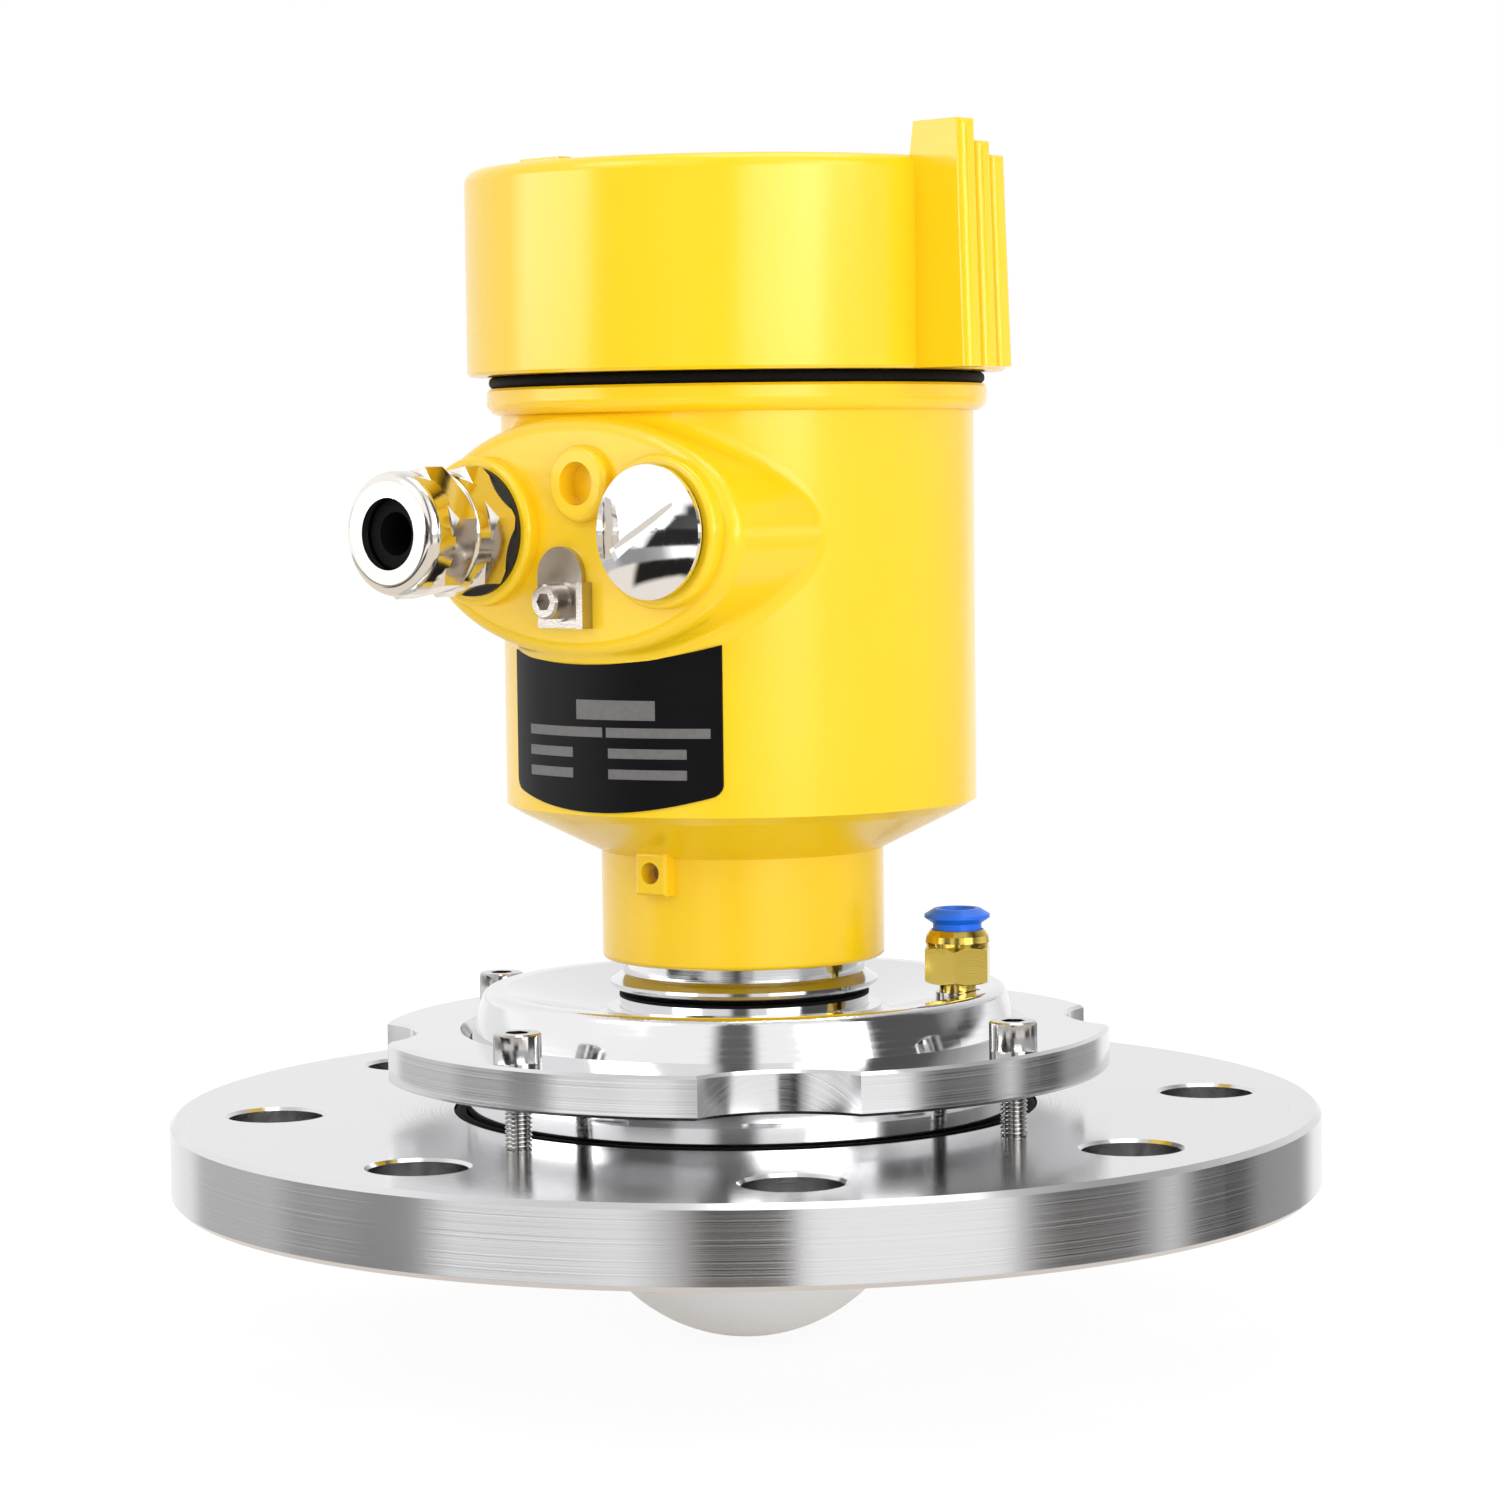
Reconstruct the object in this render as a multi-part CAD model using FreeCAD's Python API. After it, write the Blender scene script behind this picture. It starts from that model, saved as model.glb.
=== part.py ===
import FreeCAD, Part
import math
import os

# Radar level transmitter on a swivelling ball holder, in millimetres.
# The origin is the centre of the bolt circle on the flange's lower face, and +Z points up the housing.
# The cable entries, the ground terminal and the nameplate face -Y.

# Clearances
SEAT_CLEARANCE = 0.3       # ball to flange and clamp ring
TURN_CLEARANCE = 0.25      # faces that turn past each other
SHAFT_CLEARANCE = 0.08     # shafts in their bushes
SCREW_CLEARANCE = 0.05     # screws in their threads
SEAL_CLEARANCE = 0.1       # rubber rings in their grooves

# Process flange
FLANGE_DIAMETER = 220.0
FLANGE_THICKNESS = 15.0
FLANGE_EDGE_CHAMFER = 1.0
RAISED_FACE_MARGIN = 11.0
RAISED_FACE_HEIGHT = 2.0
BOLT_EDGE_DISTANCE = 20.0
BOLT_COUNT = 8
BOLT_HOLE_DIAMETER = 18.0
BOLT_HOLE_CHAMFER = 0.6

# Aiming ball
BALL_RADIUS = 53.5
BALL_CENTRE_HEIGHT = 18.5
BALL_BOTTOM_HEIGHT = 1.0
BALL_TOP_HEIGHT = 38.0
BALL_RIM_WIDTH = 4.0
BALL_RIM_ROUND = 2.0
BALL_DISH_DEPTH = 4.5
BALL_LIP_RADIUS = 26.4
BALL_LIP_HEIGHT = 0.8

# Clamp ring and its screws
CLAMP_RING_DIAMETER = 140.0
CLAMP_RING_HEIGHT = 22.5
CLAMP_RING_THICKNESS = 8.0
CLAMP_RING_BEVEL = 2.2
CLAMP_RING_CHAMFER = 0.6
CLAMP_NOTCH_RADIUS = 22.0
CLAMP_NOTCH_CENTRE_RADIUS = 85.0
CLAMP_SCREW_COUNT = 4
CLAMP_SCREW_CIRCLE_DIAMETER = 128.0
CLAMP_SCREW_DIAMETER = 5.0
CLAMP_SCREW_LENGTH = 25.0
CLAMP_SCREW_HEAD_DIAMETER = 8.8
CLAMP_SCREW_HEAD_HEIGHT = 5.4
CLAMP_SCREW_KEY = 4.0
CLAMP_SCREW_PLAY = 0.25

# Seat ring, the rubber ring round the ball at the top of the flange
SEAT_RING_SECTION = 2.4
SEAT_RING_CLEARANCE = 0.2
SEAT_RING_STAND = 0.3

# Lens, its retaining ring and the horn
LENS_DOME_RADIUS = 33.3
LENS_POLE_HEIGHT = -29.9
LENS_TIP_DIAMETER = 12.0
LENS_FLANGE_RADIUS = 36.2
LENS_FLANGE_HEIGHT = 5.0
LENS_FLANGE_THICKNESS = 4.3
LENS_CROWN_HEIGHT = 4.0
LENS_CROWN_RADIUS = 27.0
LENS_BORE_RADIUS = 36.4
LENS_RING_SECTION = 1.7
HORN_WALL = 2.0
HORN_MOUTH_RADIUS = 31.5
HORN_LIP_THICKNESS = 2.0
HORN_THROAT_HEIGHT = 27.0
WAVEGUIDE_RADIUS = 5.0
WAVEGUIDE_BORE_RADIUS = 1.5
HORN_CHAMBER_RADIUS = 33.0

# Stem that carries the housing
STEM_SEAT_HEIGHT = 28.0
STEM_LOWER_RADIUS = 23.9
STEM_GROOVE_DROP = 1.7
STEM_GROOVE_WIDTH = 0.6
STEM_RIDGE_RADIUS = 25.7
STEM_RIDGE_RISE = 0.9
STEM_RIDGE_LENGTH = 3.8
STEM_UPPER_RADIUS = 23.2
STEM_SHOULDER_RISE = 2.5
STEM_SPIGOT_RADIUS = 17.7
STEM_TOP_GAP = 0.5
STEM_EDGE_CHAMFER = 0.8
STEM_BORE_RADIUS = 6.0
MODULE_SEAT_HEIGHT = 50.0
MODULE_RADIUS = 9.7
MODULE_HEIGHT = 14.0
STOP_GROOVE_WIDTH = 4.4
STOP_GROOVE_DEPTH = 1.5
STEM_GROOVE_DEPTH = 1.5

# Housing
NECK_RADIUS = 27.05
NECK_TOP_HEIGHT = 64.6
NECK_EDGE_ROUND = 1.0
NECK_BORE_RADIUS = 19.6
NECK_BORE_RISE = 3.4
SHOULDER_RADIUS = 42.5
SHOULDER_HEIGHT = 72.3
SHOULDER_ROUND = 3.0
HOUSING_RADIUS = 44.95
HOUSING_CORNER_HEIGHT = 73.9
COLLAR_RADIUS = 47.5
COLLAR_LOW = 147.5
COLLAR_THICKNESS = 5.0
COLLAR_ROUND = 2.4
COLLAR_CHAMFER = 0.5
HOUSING_WALL = 4.2
HOUSING_FLOOR_RISE = 3.1
CABLE_PASSAGE_RADIUS = 8.0
SPIGOT_RADIUS = 46.0
SPIGOT_LENGTH = 17.5
SPIGOT_NECK_RADIUS = 44.8
THREAD_PITCH = 2.0
THREAD_DEPTH = 0.9
LID_SEAL_SECTION = 2.3
BUSH_RISE = 4.5
BUSH_SCREW_GAP = 4.0
NECK_SEAL_RISE = 1.5

# Lug and set screw on the neck
LUG_TURN = 4.5
LUG_WIDTH = 7.0
LUG_ROUND = 0.8
LUG_BELOW_SCREW = 4.2
LUG_ABOVE_SCREW = 6.2
LUG_FACE = 29.8
LUG_BEVEL = 2.6
SET_SCREW_DROP = 2.6
SET_SCREW_DIAMETER = 4.0
SET_SCREW_POINT_DIAMETER = 3.0
SET_SCREW_KEY = 2.0
SET_SCREW_SINK = 4.0

# Pad for the cable entries, on the -Y side
PAD_HALF_WIDTH = 38.9
PAD_HALF_HEIGHT = 22.3
PAD_HEIGHT = 125.0
PAD_FACE = 47.25
PAD_ROUND = 3.0
PAD_BLEND = 4.0
RIM_BLEND = 1.2
ENTRY_SPACING = 44.4
ENTRY_RISE = 1.0
ENTRY_RIM_RADIUS = 13.9
ENTRY_FACE = 49.95
ENTRY_THREAD_RADIUS = 10.0
BOSS_OFFSET = 3.0
BOSS_RISE = 9.7
BOSS_RADIUS = 7.0
BOSS_FACE = 49.45
BOSS_RECESS_RADIUS = 4.0
BOSS_RECESS_DEPTH = 4.0

# Cable gland and blanking plug
GLAND_GASKET_THICKNESS = 1.0
GLAND_GASKET_RADIUS = 12.0
GLAND_KEY = 22.0
GLAND_HEX_LENGTH = 6.0
GLAND_HEX_BEVEL = 0.9
GLAND_HEX_TURN = 12.0
GLAND_SHOULDER_LENGTH = 3.6
GLAND_SHOULDER_RADIUS = 11.2
GLAND_SHOULDER_ROUND = 0.8
GLAND_NUT_GAP = 0.5
GLAND_NUT_HEX_LENGTH = 6.4
GLAND_NUT_LENGTH = 11.4
GLAND_NOSE_RADIUS = 11.4
GLAND_NOSE_ROUND = 2.2
GLAND_MOUTH_RADIUS = 6.6
GLAND_THREAD_RADIUS = 9.3
GLAND_THREAD_LENGTH = 7.5
GLAND_BORE_RADIUS = 6.4
GLAND_SHANK_LENGTH = 13.0
CABLE_BORE_RADIUS = 4.0
SEAL_BACK_LENGTH = 9.0
SEAL_RECESS = 2.2
PLUG_RADIUS = 12.1
PLUG_RIM = 1.0
PLUG_CROWN = 2.0
PLUG_SLOT_LENGTH = 17.0
PLUG_SLOT_WIDTH = 2.4
PLUG_SLOT_DEPTH = 1.6
PLUG_SLOT_TURN = 30.0
PLUG_SHANK_LENGTH = 10.0

# Ground terminal
GROUND_OFFSET = -2.2
GROUND_DROP = 11.7
GROUND_PLATE_WIDTH = 10.9
GROUND_PLATE_THICKNESS = 1.2
GROUND_PLATE_BELOW_SCREW = 4.95
GROUND_PLATE_ABOVE_SCREW = 4.5
GROUND_TAB_WIDTH = 1.5
GROUND_TAB_STAND = 1.6
GROUND_TAB_ABOVE_SCREW = 3.5
GROUND_WASHER_THICKNESS = 0.8
GROUND_WASHER_RADIUS = 3.7
GROUND_SCREW_DIAMETER = 4.0
GROUND_SCREW_HEAD_DIAMETER = 6.4
GROUND_SCREW_HEAD_HEIGHT = 3.6
GROUND_SCREW_LENGTH = 7.0
GROUND_SCREW_KEY = 3.0
GROUND_HOLE_PLAY = 0.15

# Nameplate
PLATE_THICKNESS = 0.4
PLATE_HALF_ANGLE = 31.7
PLATE_TURN = 4.2
PLATE_LOW = 74.5
PLATE_ARC_RADIUS = 78.0
PLATE_TOP_MARGIN = 1.1
PLATE_SIDE_MARGIN = 10.0
PLATE_CORNER = 2.5

# Lid
LID_RADIUS = 51.2
LID_GAP = 2.4
LID_HEIGHT = 38.5
LID_EDGE_ROUND = 2.4
LID_RIM_CHAMFER = 0.6
LID_LUG_ROUND = 1.4
LID_TOP_THICKNESS = 3.6
LID_THREAD_CLEARANCE = 0.3
LID_BORE_RADIUS = 47.4
LID_THREAD_START = 2.5
LID_THREAD_HEIGHT = 16.5
LID_LUG_OUTER_TOP = 63.5
LID_LUG_OUTER_LOW = 65.0
LID_LUG_START = -10.5
LID_LUG_STEP_ANGLE = 3.7
LID_LUG_RISES = [5.8, 1.9, -0.5]

# Purge air fitting on the ball
PURGE_CIRCLE_RADIUS = 42.4
PURGE_ANGLE = 22.5
PURGE_NIPPLE_RADIUS = 4.2
PURGE_NIPPLE_STAND = 4.3
PURGE_NECK_RADIUS = 3.5
PURGE_NECK_HEIGHT = 1.7
PURGE_NIPPLE_DEPTH = 6.0
PURGE_KEY = 11.8
PURGE_HEX_TURN = -20.0
PURGE_HEX_HEIGHT = 7.0
PURGE_HEX_BEVEL = 0.6
PURGE_SHOULDER_HEIGHT = 3.1
PURGE_SHOULDER_RADIUS = 6.1
PURGE_MOUTH_RADIUS = 4.9
PURGE_MOUTH_DEPTH = 4.5
PURGE_TUBE_RADIUS = 3.0
PURGE_TUBE_CLEARANCE = 0.1
PURGE_AIR_BORE_RADIUS = 2.1
PURGE_TUBE_DEPTH = 9.0
COLLAR_STAND = 4.0
COLLAR_TOP_RADIUS = 4.4
COLLAR_FLANGE_RADIUS = 6.2
COLLAR_FLANGE_HEIGHT = 2.8
COLLAR_NECK_RADIUS = 4.6
COLLAR_DEPTH = 1.4

# Inside the housing
CUP_RADIUS = 38.5
CUP_HEIGHT = 34.0
CUP_WALL = 2.0
CUP_TOWER_HEIGHT = 26.0
CUP_TOWER_FRONT = -4.0
CUP_TOWER_RADIUS = 33.0
LEAD_HOLE_RADIUS = 6.0
LEAD_HOLE_Y = 12.0
BOARD_RADIUS = 35.0
BOARD_THICKNESS = 1.6
BOARD_RISE = 15.0
CHIP_LENGTH = 18.0
CHIP_HEIGHT = 3.0
TRANSFORMER_LENGTH = 14.0
TRANSFORMER_WIDTH = 12.0
TRANSFORMER_HEIGHT = 7.0
TRANSFORMER_X = 18.0
CAPACITOR_RADIUS = 5.0
CAPACITOR_HEIGHT = 12.0
CAPACITOR_X = -18.0
CAPACITOR_SPACING = 14.0
PLUG_ROW_LENGTH = 16.0
PLUG_ROW_WIDTH = 6.0
PLUG_ROW_Y = 17.0
LEAD_SOCKET_WIDTH = 12.0
LEAD_SOCKET_HEIGHT = 5.0
BOARD_POST_RADIUS = 3.0
BOARD_POST_CIRCLE = 28.0
BOARD_POST_COUNT = 4
TERMINAL_LENGTH = 40.0
TERMINAL_DEPTH = 11.0
TERMINAL_HEIGHT = 9.0
TERMINAL_COUNT = 6
TERMINAL_PITCH = 6.4
TERMINAL_SCREW_DIAMETER = 3.6
TERMINAL_SCREW_HEIGHT = 4.0
DISPLAY_RADIUS = 34.0
DISPLAY_HEIGHT = 20.0
DISPLAY_WINDOW_WIDTH = 44.0
DISPLAY_WINDOW_DEPTH = 26.0
DISPLAY_WINDOW_Y = 8.0
DISPLAY_GLASS_THICKNESS = 1.5
KEY_COUNT = 4
KEY_PITCH = 11.0
KEY_Y = -19.0
KEY_WIDTH = 8.0
KEY_DEPTH = 6.0
KEY_STAND = 1.2
KEY_SOCKET_DEPTH = 4.0
KEY_TRAVEL = 0.6
KEY_CLEARANCE = 0.25
KEY_CHAMFER = 0.5

Z_AXIS = FreeCAD.Vector(0, 0, 1)
OUTWARD = FreeCAD.Vector(0, -1, 0)

# Sizes worked out from the driving sizes
BOLT_CIRCLE_DIAMETER = FLANGE_DIAMETER - 2 * BOLT_EDGE_DISTANCE
RAISED_FACE_DIAMETER = BOLT_CIRCLE_DIAMETER - 2 * RAISED_FACE_MARGIN
STEM_GROOVE_HEIGHT = BALL_TOP_HEIGHT - STEM_GROOVE_DROP
STEM_RIDGE_LOW = STEM_GROOVE_HEIGHT + STEM_RIDGE_RISE
STEM_RIDGE_HIGH = STEM_RIDGE_LOW + STEM_RIDGE_LENGTH
STEM_SHOULDER_HEIGHT = STEM_RIDGE_HIGH + STEM_SHOULDER_RISE
NECK_BORE_TOP_HEIGHT = NECK_TOP_HEIGHT + NECK_BORE_RISE
STEM_TOP_HEIGHT = NECK_BORE_TOP_HEIGHT - STEM_TOP_GAP
SET_SCREW_HEIGHT = NECK_TOP_HEIGHT - SET_SCREW_DROP
COLLAR_HIGH = COLLAR_LOW + COLLAR_THICKNESS
SPIGOT_TOP_HEIGHT = COLLAR_HIGH + SPIGOT_LENGTH
HOUSING_FLOOR_HEIGHT = HOUSING_CORNER_HEIGHT + HOUSING_FLOOR_RISE
BUSH_LOW = STEM_SHOULDER_HEIGHT + BUSH_RISE
BUSH_HIGH = SET_SCREW_HEIGHT - BUSH_SCREW_GAP
NECK_SEAL_LOW = STEM_SHOULDER_HEIGHT + NECK_SEAL_RISE
ENTRY_HEIGHT = PAD_HEIGHT + ENTRY_RISE
BOSS_HEIGHT = PAD_HEIGHT + BOSS_RISE
GROUND_HEIGHT = PAD_HEIGHT - GROUND_DROP
BOARD_HEIGHT = HOUSING_FLOOR_HEIGHT + BOARD_RISE
CLAMP_RING_TOP = CLAMP_RING_HEIGHT + CLAMP_RING_THICKNESS
LENS_FLANGE_TOP = LENS_FLANGE_HEIGHT + LENS_FLANGE_THICKNESS
LID_LOW = COLLAR_HIGH + LID_GAP
LID_TOP = LID_LOW + LID_HEIGHT
CUP_TOP = HOUSING_FLOOR_HEIGHT + CUP_HEIGHT
TOWER_TOP = CUP_TOP + CUP_TOWER_HEIGHT
DISPLAY_TOP = TOWER_TOP + DISPLAY_HEIGHT
GLAND_SEAT = ENTRY_FACE + GLAND_GASKET_THICKNESS
GLAND_SHOULDER_END = GLAND_SEAT + GLAND_HEX_LENGTH + GLAND_SHOULDER_LENGTH
GLAND_NUT_START = GLAND_SHOULDER_END + GLAND_NUT_GAP
GLAND_NUT_END = GLAND_NUT_START + GLAND_NUT_LENGTH
PURGE_NIPPLE_TOP = BALL_TOP_HEIGHT - BALL_DISH_DEPTH + PURGE_NIPPLE_STAND
PURGE_HEX_LOW = PURGE_NIPPLE_TOP + PURGE_NECK_HEIGHT
PURGE_HEX_TOP = PURGE_HEX_LOW + PURGE_HEX_HEIGHT
PURGE_BODY_TOP = PURGE_HEX_TOP + PURGE_SHOULDER_HEIGHT


def at(x, y, z):
    return FreeCAD.Vector(x, y, z)


def turned(outline):
    """A solid of revolution about Z, from a closed outline of (radius, height) points."""
    points = [at(radius, 0, height) for radius, height in outline]
    face = Part.Face(Part.makePolygon(points + points[:1]))
    return face.revolve(at(0, 0, 0), Z_AXIS, 360)


def disc(radius, low, high, x=0.0, y=0.0):
    return Part.makeCylinder(radius, high - low, at(x, y, low))


def sleeve(outer, inner, low, high, x=0.0, y=0.0):
    return disc(outer, low, high, x, y).cut(disc(inner, low, high, x, y))


def rubber_ring(radius, section, height):
    return Part.makeTorus(radius, section / 2, at(0, 0, height))


def block(x_low, x_high, y_low, y_high, z_low, z_high):
    return Part.makeBox(x_high - x_low, y_high - y_low, z_high - z_low, at(x_low, y_low, z_low))


def hexagon(key, low, high, x=0.0, y=0.0):
    """An upright hexagonal bar with the given width across flats."""
    corner_radius = key / math.sqrt(3)
    turns = [math.radians(60 * step) for step in range(7)]
    corners = [at(x + corner_radius * math.cos(t), y + corner_radius * math.sin(t), low) for t in turns]
    return Part.Face(Part.makePolygon(corners)).extrude(at(0, 0, high - low))


def hex_nut_form(key, low, high, bevel):
    """A hexagonal bar whose two ends are bevelled to the round, as turned nuts are."""
    corner_radius = key / math.sqrt(3)
    turned_blank = turned([
        (0, low),
        (corner_radius - bevel * 1.7, low),
        (corner_radius, low + bevel),
        (corner_radius, high - bevel),
        (corner_radius - bevel * 1.7, high),
        (0, high),
    ])
    return hexagon(key, low, high).common(turned_blank)


def ring_edges(shape, places):
    """The circular edges about Z that lie at the given (radius, height) places."""
    found = []
    for edge in shape.Edges:
        if not isinstance(edge.Curve, Part.Circle):
            continue
        for radius, height in places:
            if abs(edge.Curve.Radius - radius) < 0.01 and abs(edge.Curve.Center.z - height) < 0.01:
                found.append(edge)
    return found


def around(shape, count, start=0.0):
    """Copies of a shape spread evenly about Z."""
    copies = []
    for index in range(count):
        copy = shape.copy()
        copy.rotate(at(0, 0, 0), Z_AXIS, start + 360.0 * index / count)
        copies.append(copy)
    return copies


def socket_screw(shank, length, head, head_height, key):
    """A socket head screw that hangs from the origin, its head above Z zero."""
    body = disc(head / 2, 0, head_height)
    body = body.makeChamfer(0.4, ring_edges(body, [(head / 2, head_height)]))
    body = body.fuse(disc(shank / 2, -length, 0)).removeSplitter()
    return body.cut(hexagon(key, head_height * 0.45, head_height))


def point_outward(shape, x, z, distance):
    """Turns a shape built along +Z so that it points to -Y, and sets it at a distance from the axis."""
    placed = shape.copy()
    placed.rotate(at(0, 0, 0), at(1, 0, 0), 90)
    placed.translate(at(x, -distance, z))
    return placed


def rod_outward(radius, near, far, x, z):
    """A round bar along -Y between two distances from the axis."""
    return Part.makeCylinder(radius, far - near, at(x, -near, z), OUTWARD)


def hole_tool(radius, low, high, chamfer):
    """A cutter for a through hole whose upper mouth is chamfered."""
    return turned([
        (0, low),
        (radius, low),
        (radius, high - chamfer),
        (radius + 2 * chamfer, high + chamfer),
        (0, high + chamfer),
    ])


def seat_sphere():
    return Part.makeSphere(BALL_RADIUS + SEAT_CLEARANCE, at(0, 0, BALL_CENTRE_HEIGHT))


def seat_ring_radius():
    """Radius of the seat ring's centre line, so that it just clears the ball."""
    reach = BALL_RADIUS + SEAT_RING_CLEARANCE + SEAT_RING_SECTION / 2
    drop = BALL_CENTRE_HEIGHT - seat_ring_height()
    return math.sqrt(reach ** 2 - drop ** 2)


def seat_ring_height():
    return FLANGE_THICKNESS + SEAT_RING_STAND - SEAT_RING_SECTION / 2


def process_flange():
    outer = FLANGE_DIAMETER / 2
    plate = disc(outer, 0, FLANGE_THICKNESS)
    plate = plate.makeChamfer(FLANGE_EDGE_CHAMFER, ring_edges(plate, [(outer, 0), (outer, FLANGE_THICKNESS)]))
    plate = plate.fuse(disc(RAISED_FACE_DIAMETER / 2, -RAISED_FACE_HEIGHT, 0))
    plate = plate.cut(seat_sphere())
    groove_radius = seat_ring_radius() + SEAT_RING_SECTION / 2 + SEAT_RING_CLEARANCE
    groove_floor = seat_ring_height() - SEAT_RING_SECTION / 2 - SEAT_RING_CLEARANCE
    plate = plate.cut(disc(groove_radius, groove_floor, FLANGE_THICKNESS))
    bolt_hole = hole_tool(BOLT_HOLE_DIAMETER / 2, -1, FLANGE_THICKNESS, BOLT_HOLE_CHAMFER)
    bolt_hole.translate(at(BOLT_CIRCLE_DIAMETER / 2, 0, 0))
    plate = plate.cut(around(bolt_hole, BOLT_COUNT))
    thread_radius = CLAMP_SCREW_DIAMETER / 2 + SCREW_CLEARANCE
    thread_end = CLAMP_RING_TOP - CLAMP_SCREW_LENGTH - 1
    thread = disc(thread_radius, thread_end, FLANGE_THICKNESS, CLAMP_SCREW_CIRCLE_DIAMETER / 2)
    return plate.cut(around(thread, CLAMP_SCREW_COUNT))


def clamp_ring():
    outer = CLAMP_RING_DIAMETER / 2
    ring = disc(outer, CLAMP_RING_HEIGHT, CLAMP_RING_TOP)
    notch = disc(CLAMP_NOTCH_RADIUS, CLAMP_RING_HEIGHT, CLAMP_RING_TOP, CLAMP_NOTCH_CENTRE_RADIUS)
    ring = ring.cut(around(notch, CLAMP_SCREW_COUNT, 45))
    rims = [(radius, height) for radius in (outer, CLAMP_NOTCH_RADIUS)
            for height in (CLAMP_RING_HEIGHT, CLAMP_RING_TOP)]
    ring = ring.makeChamfer(CLAMP_RING_CHAMFER, ring_edges(ring, rims))
    ring = ring.cut(seat_sphere())
    rise = CLAMP_RING_TOP - BALL_CENTRE_HEIGHT
    mouth = math.sqrt((BALL_RADIUS + SEAT_CLEARANCE) ** 2 - rise ** 2) + CLAMP_RING_BEVEL
    bevel = Part.makeCone(mouth - 2 * CLAMP_RING_BEVEL, mouth, 2 * CLAMP_RING_BEVEL,
                          at(0, 0, CLAMP_RING_TOP - 2 * CLAMP_RING_BEVEL))
    ring = ring.cut(bevel)
    hole_radius = CLAMP_SCREW_DIAMETER / 2 + CLAMP_SCREW_PLAY
    hole = disc(hole_radius, CLAMP_RING_HEIGHT, CLAMP_RING_TOP, CLAMP_SCREW_CIRCLE_DIAMETER / 2)
    return ring.cut(around(hole, CLAMP_SCREW_COUNT))


def clamp_screws():
    screw = socket_screw(CLAMP_SCREW_DIAMETER, CLAMP_SCREW_LENGTH, CLAMP_SCREW_HEAD_DIAMETER,
                         CLAMP_SCREW_HEAD_HEIGHT, CLAMP_SCREW_KEY)
    screw.translate(at(CLAMP_SCREW_CIRCLE_DIAMETER / 2, 0, CLAMP_RING_TOP))
    return Part.makeCompound(around(screw, CLAMP_SCREW_COUNT))


def seat_o_ring():
    return rubber_ring(seat_ring_radius(), SEAT_RING_SECTION, seat_ring_height())


def dish_floor_height():
    return BALL_TOP_HEIGHT - BALL_DISH_DEPTH


def aiming_ball():
    """A ball cut flat below, dished above, and bored for the horn, the lens and the stem."""
    ball = Part.makeSphere(BALL_RADIUS, at(0, 0, BALL_CENTRE_HEIGHT))
    ball = ball.common(disc(BALL_RADIUS, BALL_BOTTOM_HEIGHT, BALL_TOP_HEIGHT))
    rise = BALL_TOP_HEIGHT - BALL_CENTRE_HEIGHT
    rim = math.sqrt(BALL_RADIUS ** 2 - rise ** 2)
    ball = ball.makeFillet(BALL_RIM_ROUND, ring_edges(ball, [(rim, BALL_TOP_HEIGHT)]))
    floor = dish_floor_height()
    dish = turned([
        (0, floor),
        (BALL_LIP_RADIUS + 1.5, floor),
        (rim - BALL_RIM_WIDTH, BALL_TOP_HEIGHT),
        (rim - BALL_RIM_WIDTH, BALL_TOP_HEIGHT + 1),
        (0, BALL_TOP_HEIGHT + 1),
    ])
    ball = ball.cut(dish)
    ball = ball.fuse(disc(BALL_LIP_RADIUS, floor - 1, floor + BALL_LIP_HEIGHT))
    horn_seat = LENS_FLANGE_TOP + HORN_LIP_THICKNESS
    stem_step = STEM_LOWER_RADIUS - 3
    bore = turned([
        (0, BALL_BOTTOM_HEIGHT - 1),
        (LENS_BORE_RADIUS, BALL_BOTTOM_HEIGHT - 1),
        (LENS_BORE_RADIUS, LENS_FLANGE_TOP),
        (HORN_CHAMBER_RADIUS, LENS_FLANGE_TOP),
        (HORN_CHAMBER_RADIUS, horn_seat),
        (HORN_CHAMBER_RADIUS - 3, horn_seat),
        (stem_step, STEM_SEAT_HEIGHT),
        (STEM_LOWER_RADIUS + SCREW_CLEARANCE, STEM_SEAT_HEIGHT),
        (STEM_LOWER_RADIUS + SCREW_CLEARANCE, BALL_TOP_HEIGHT),
        (0, BALL_TOP_HEIGHT),
    ])
    ball = ball.cut(bore)
    x = PURGE_CIRCLE_RADIUS * math.cos(math.radians(PURGE_ANGLE))
    y = PURGE_CIRCLE_RADIUS * math.sin(math.radians(PURGE_ANGLE))
    port_floor = dish_floor_height() - PURGE_NIPPLE_DEPTH
    port = disc(PURGE_NIPPLE_RADIUS + SCREW_CLEARANCE, port_floor, BALL_TOP_HEIGHT, x, y)
    return ball.cut(port).removeSplitter()


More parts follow.
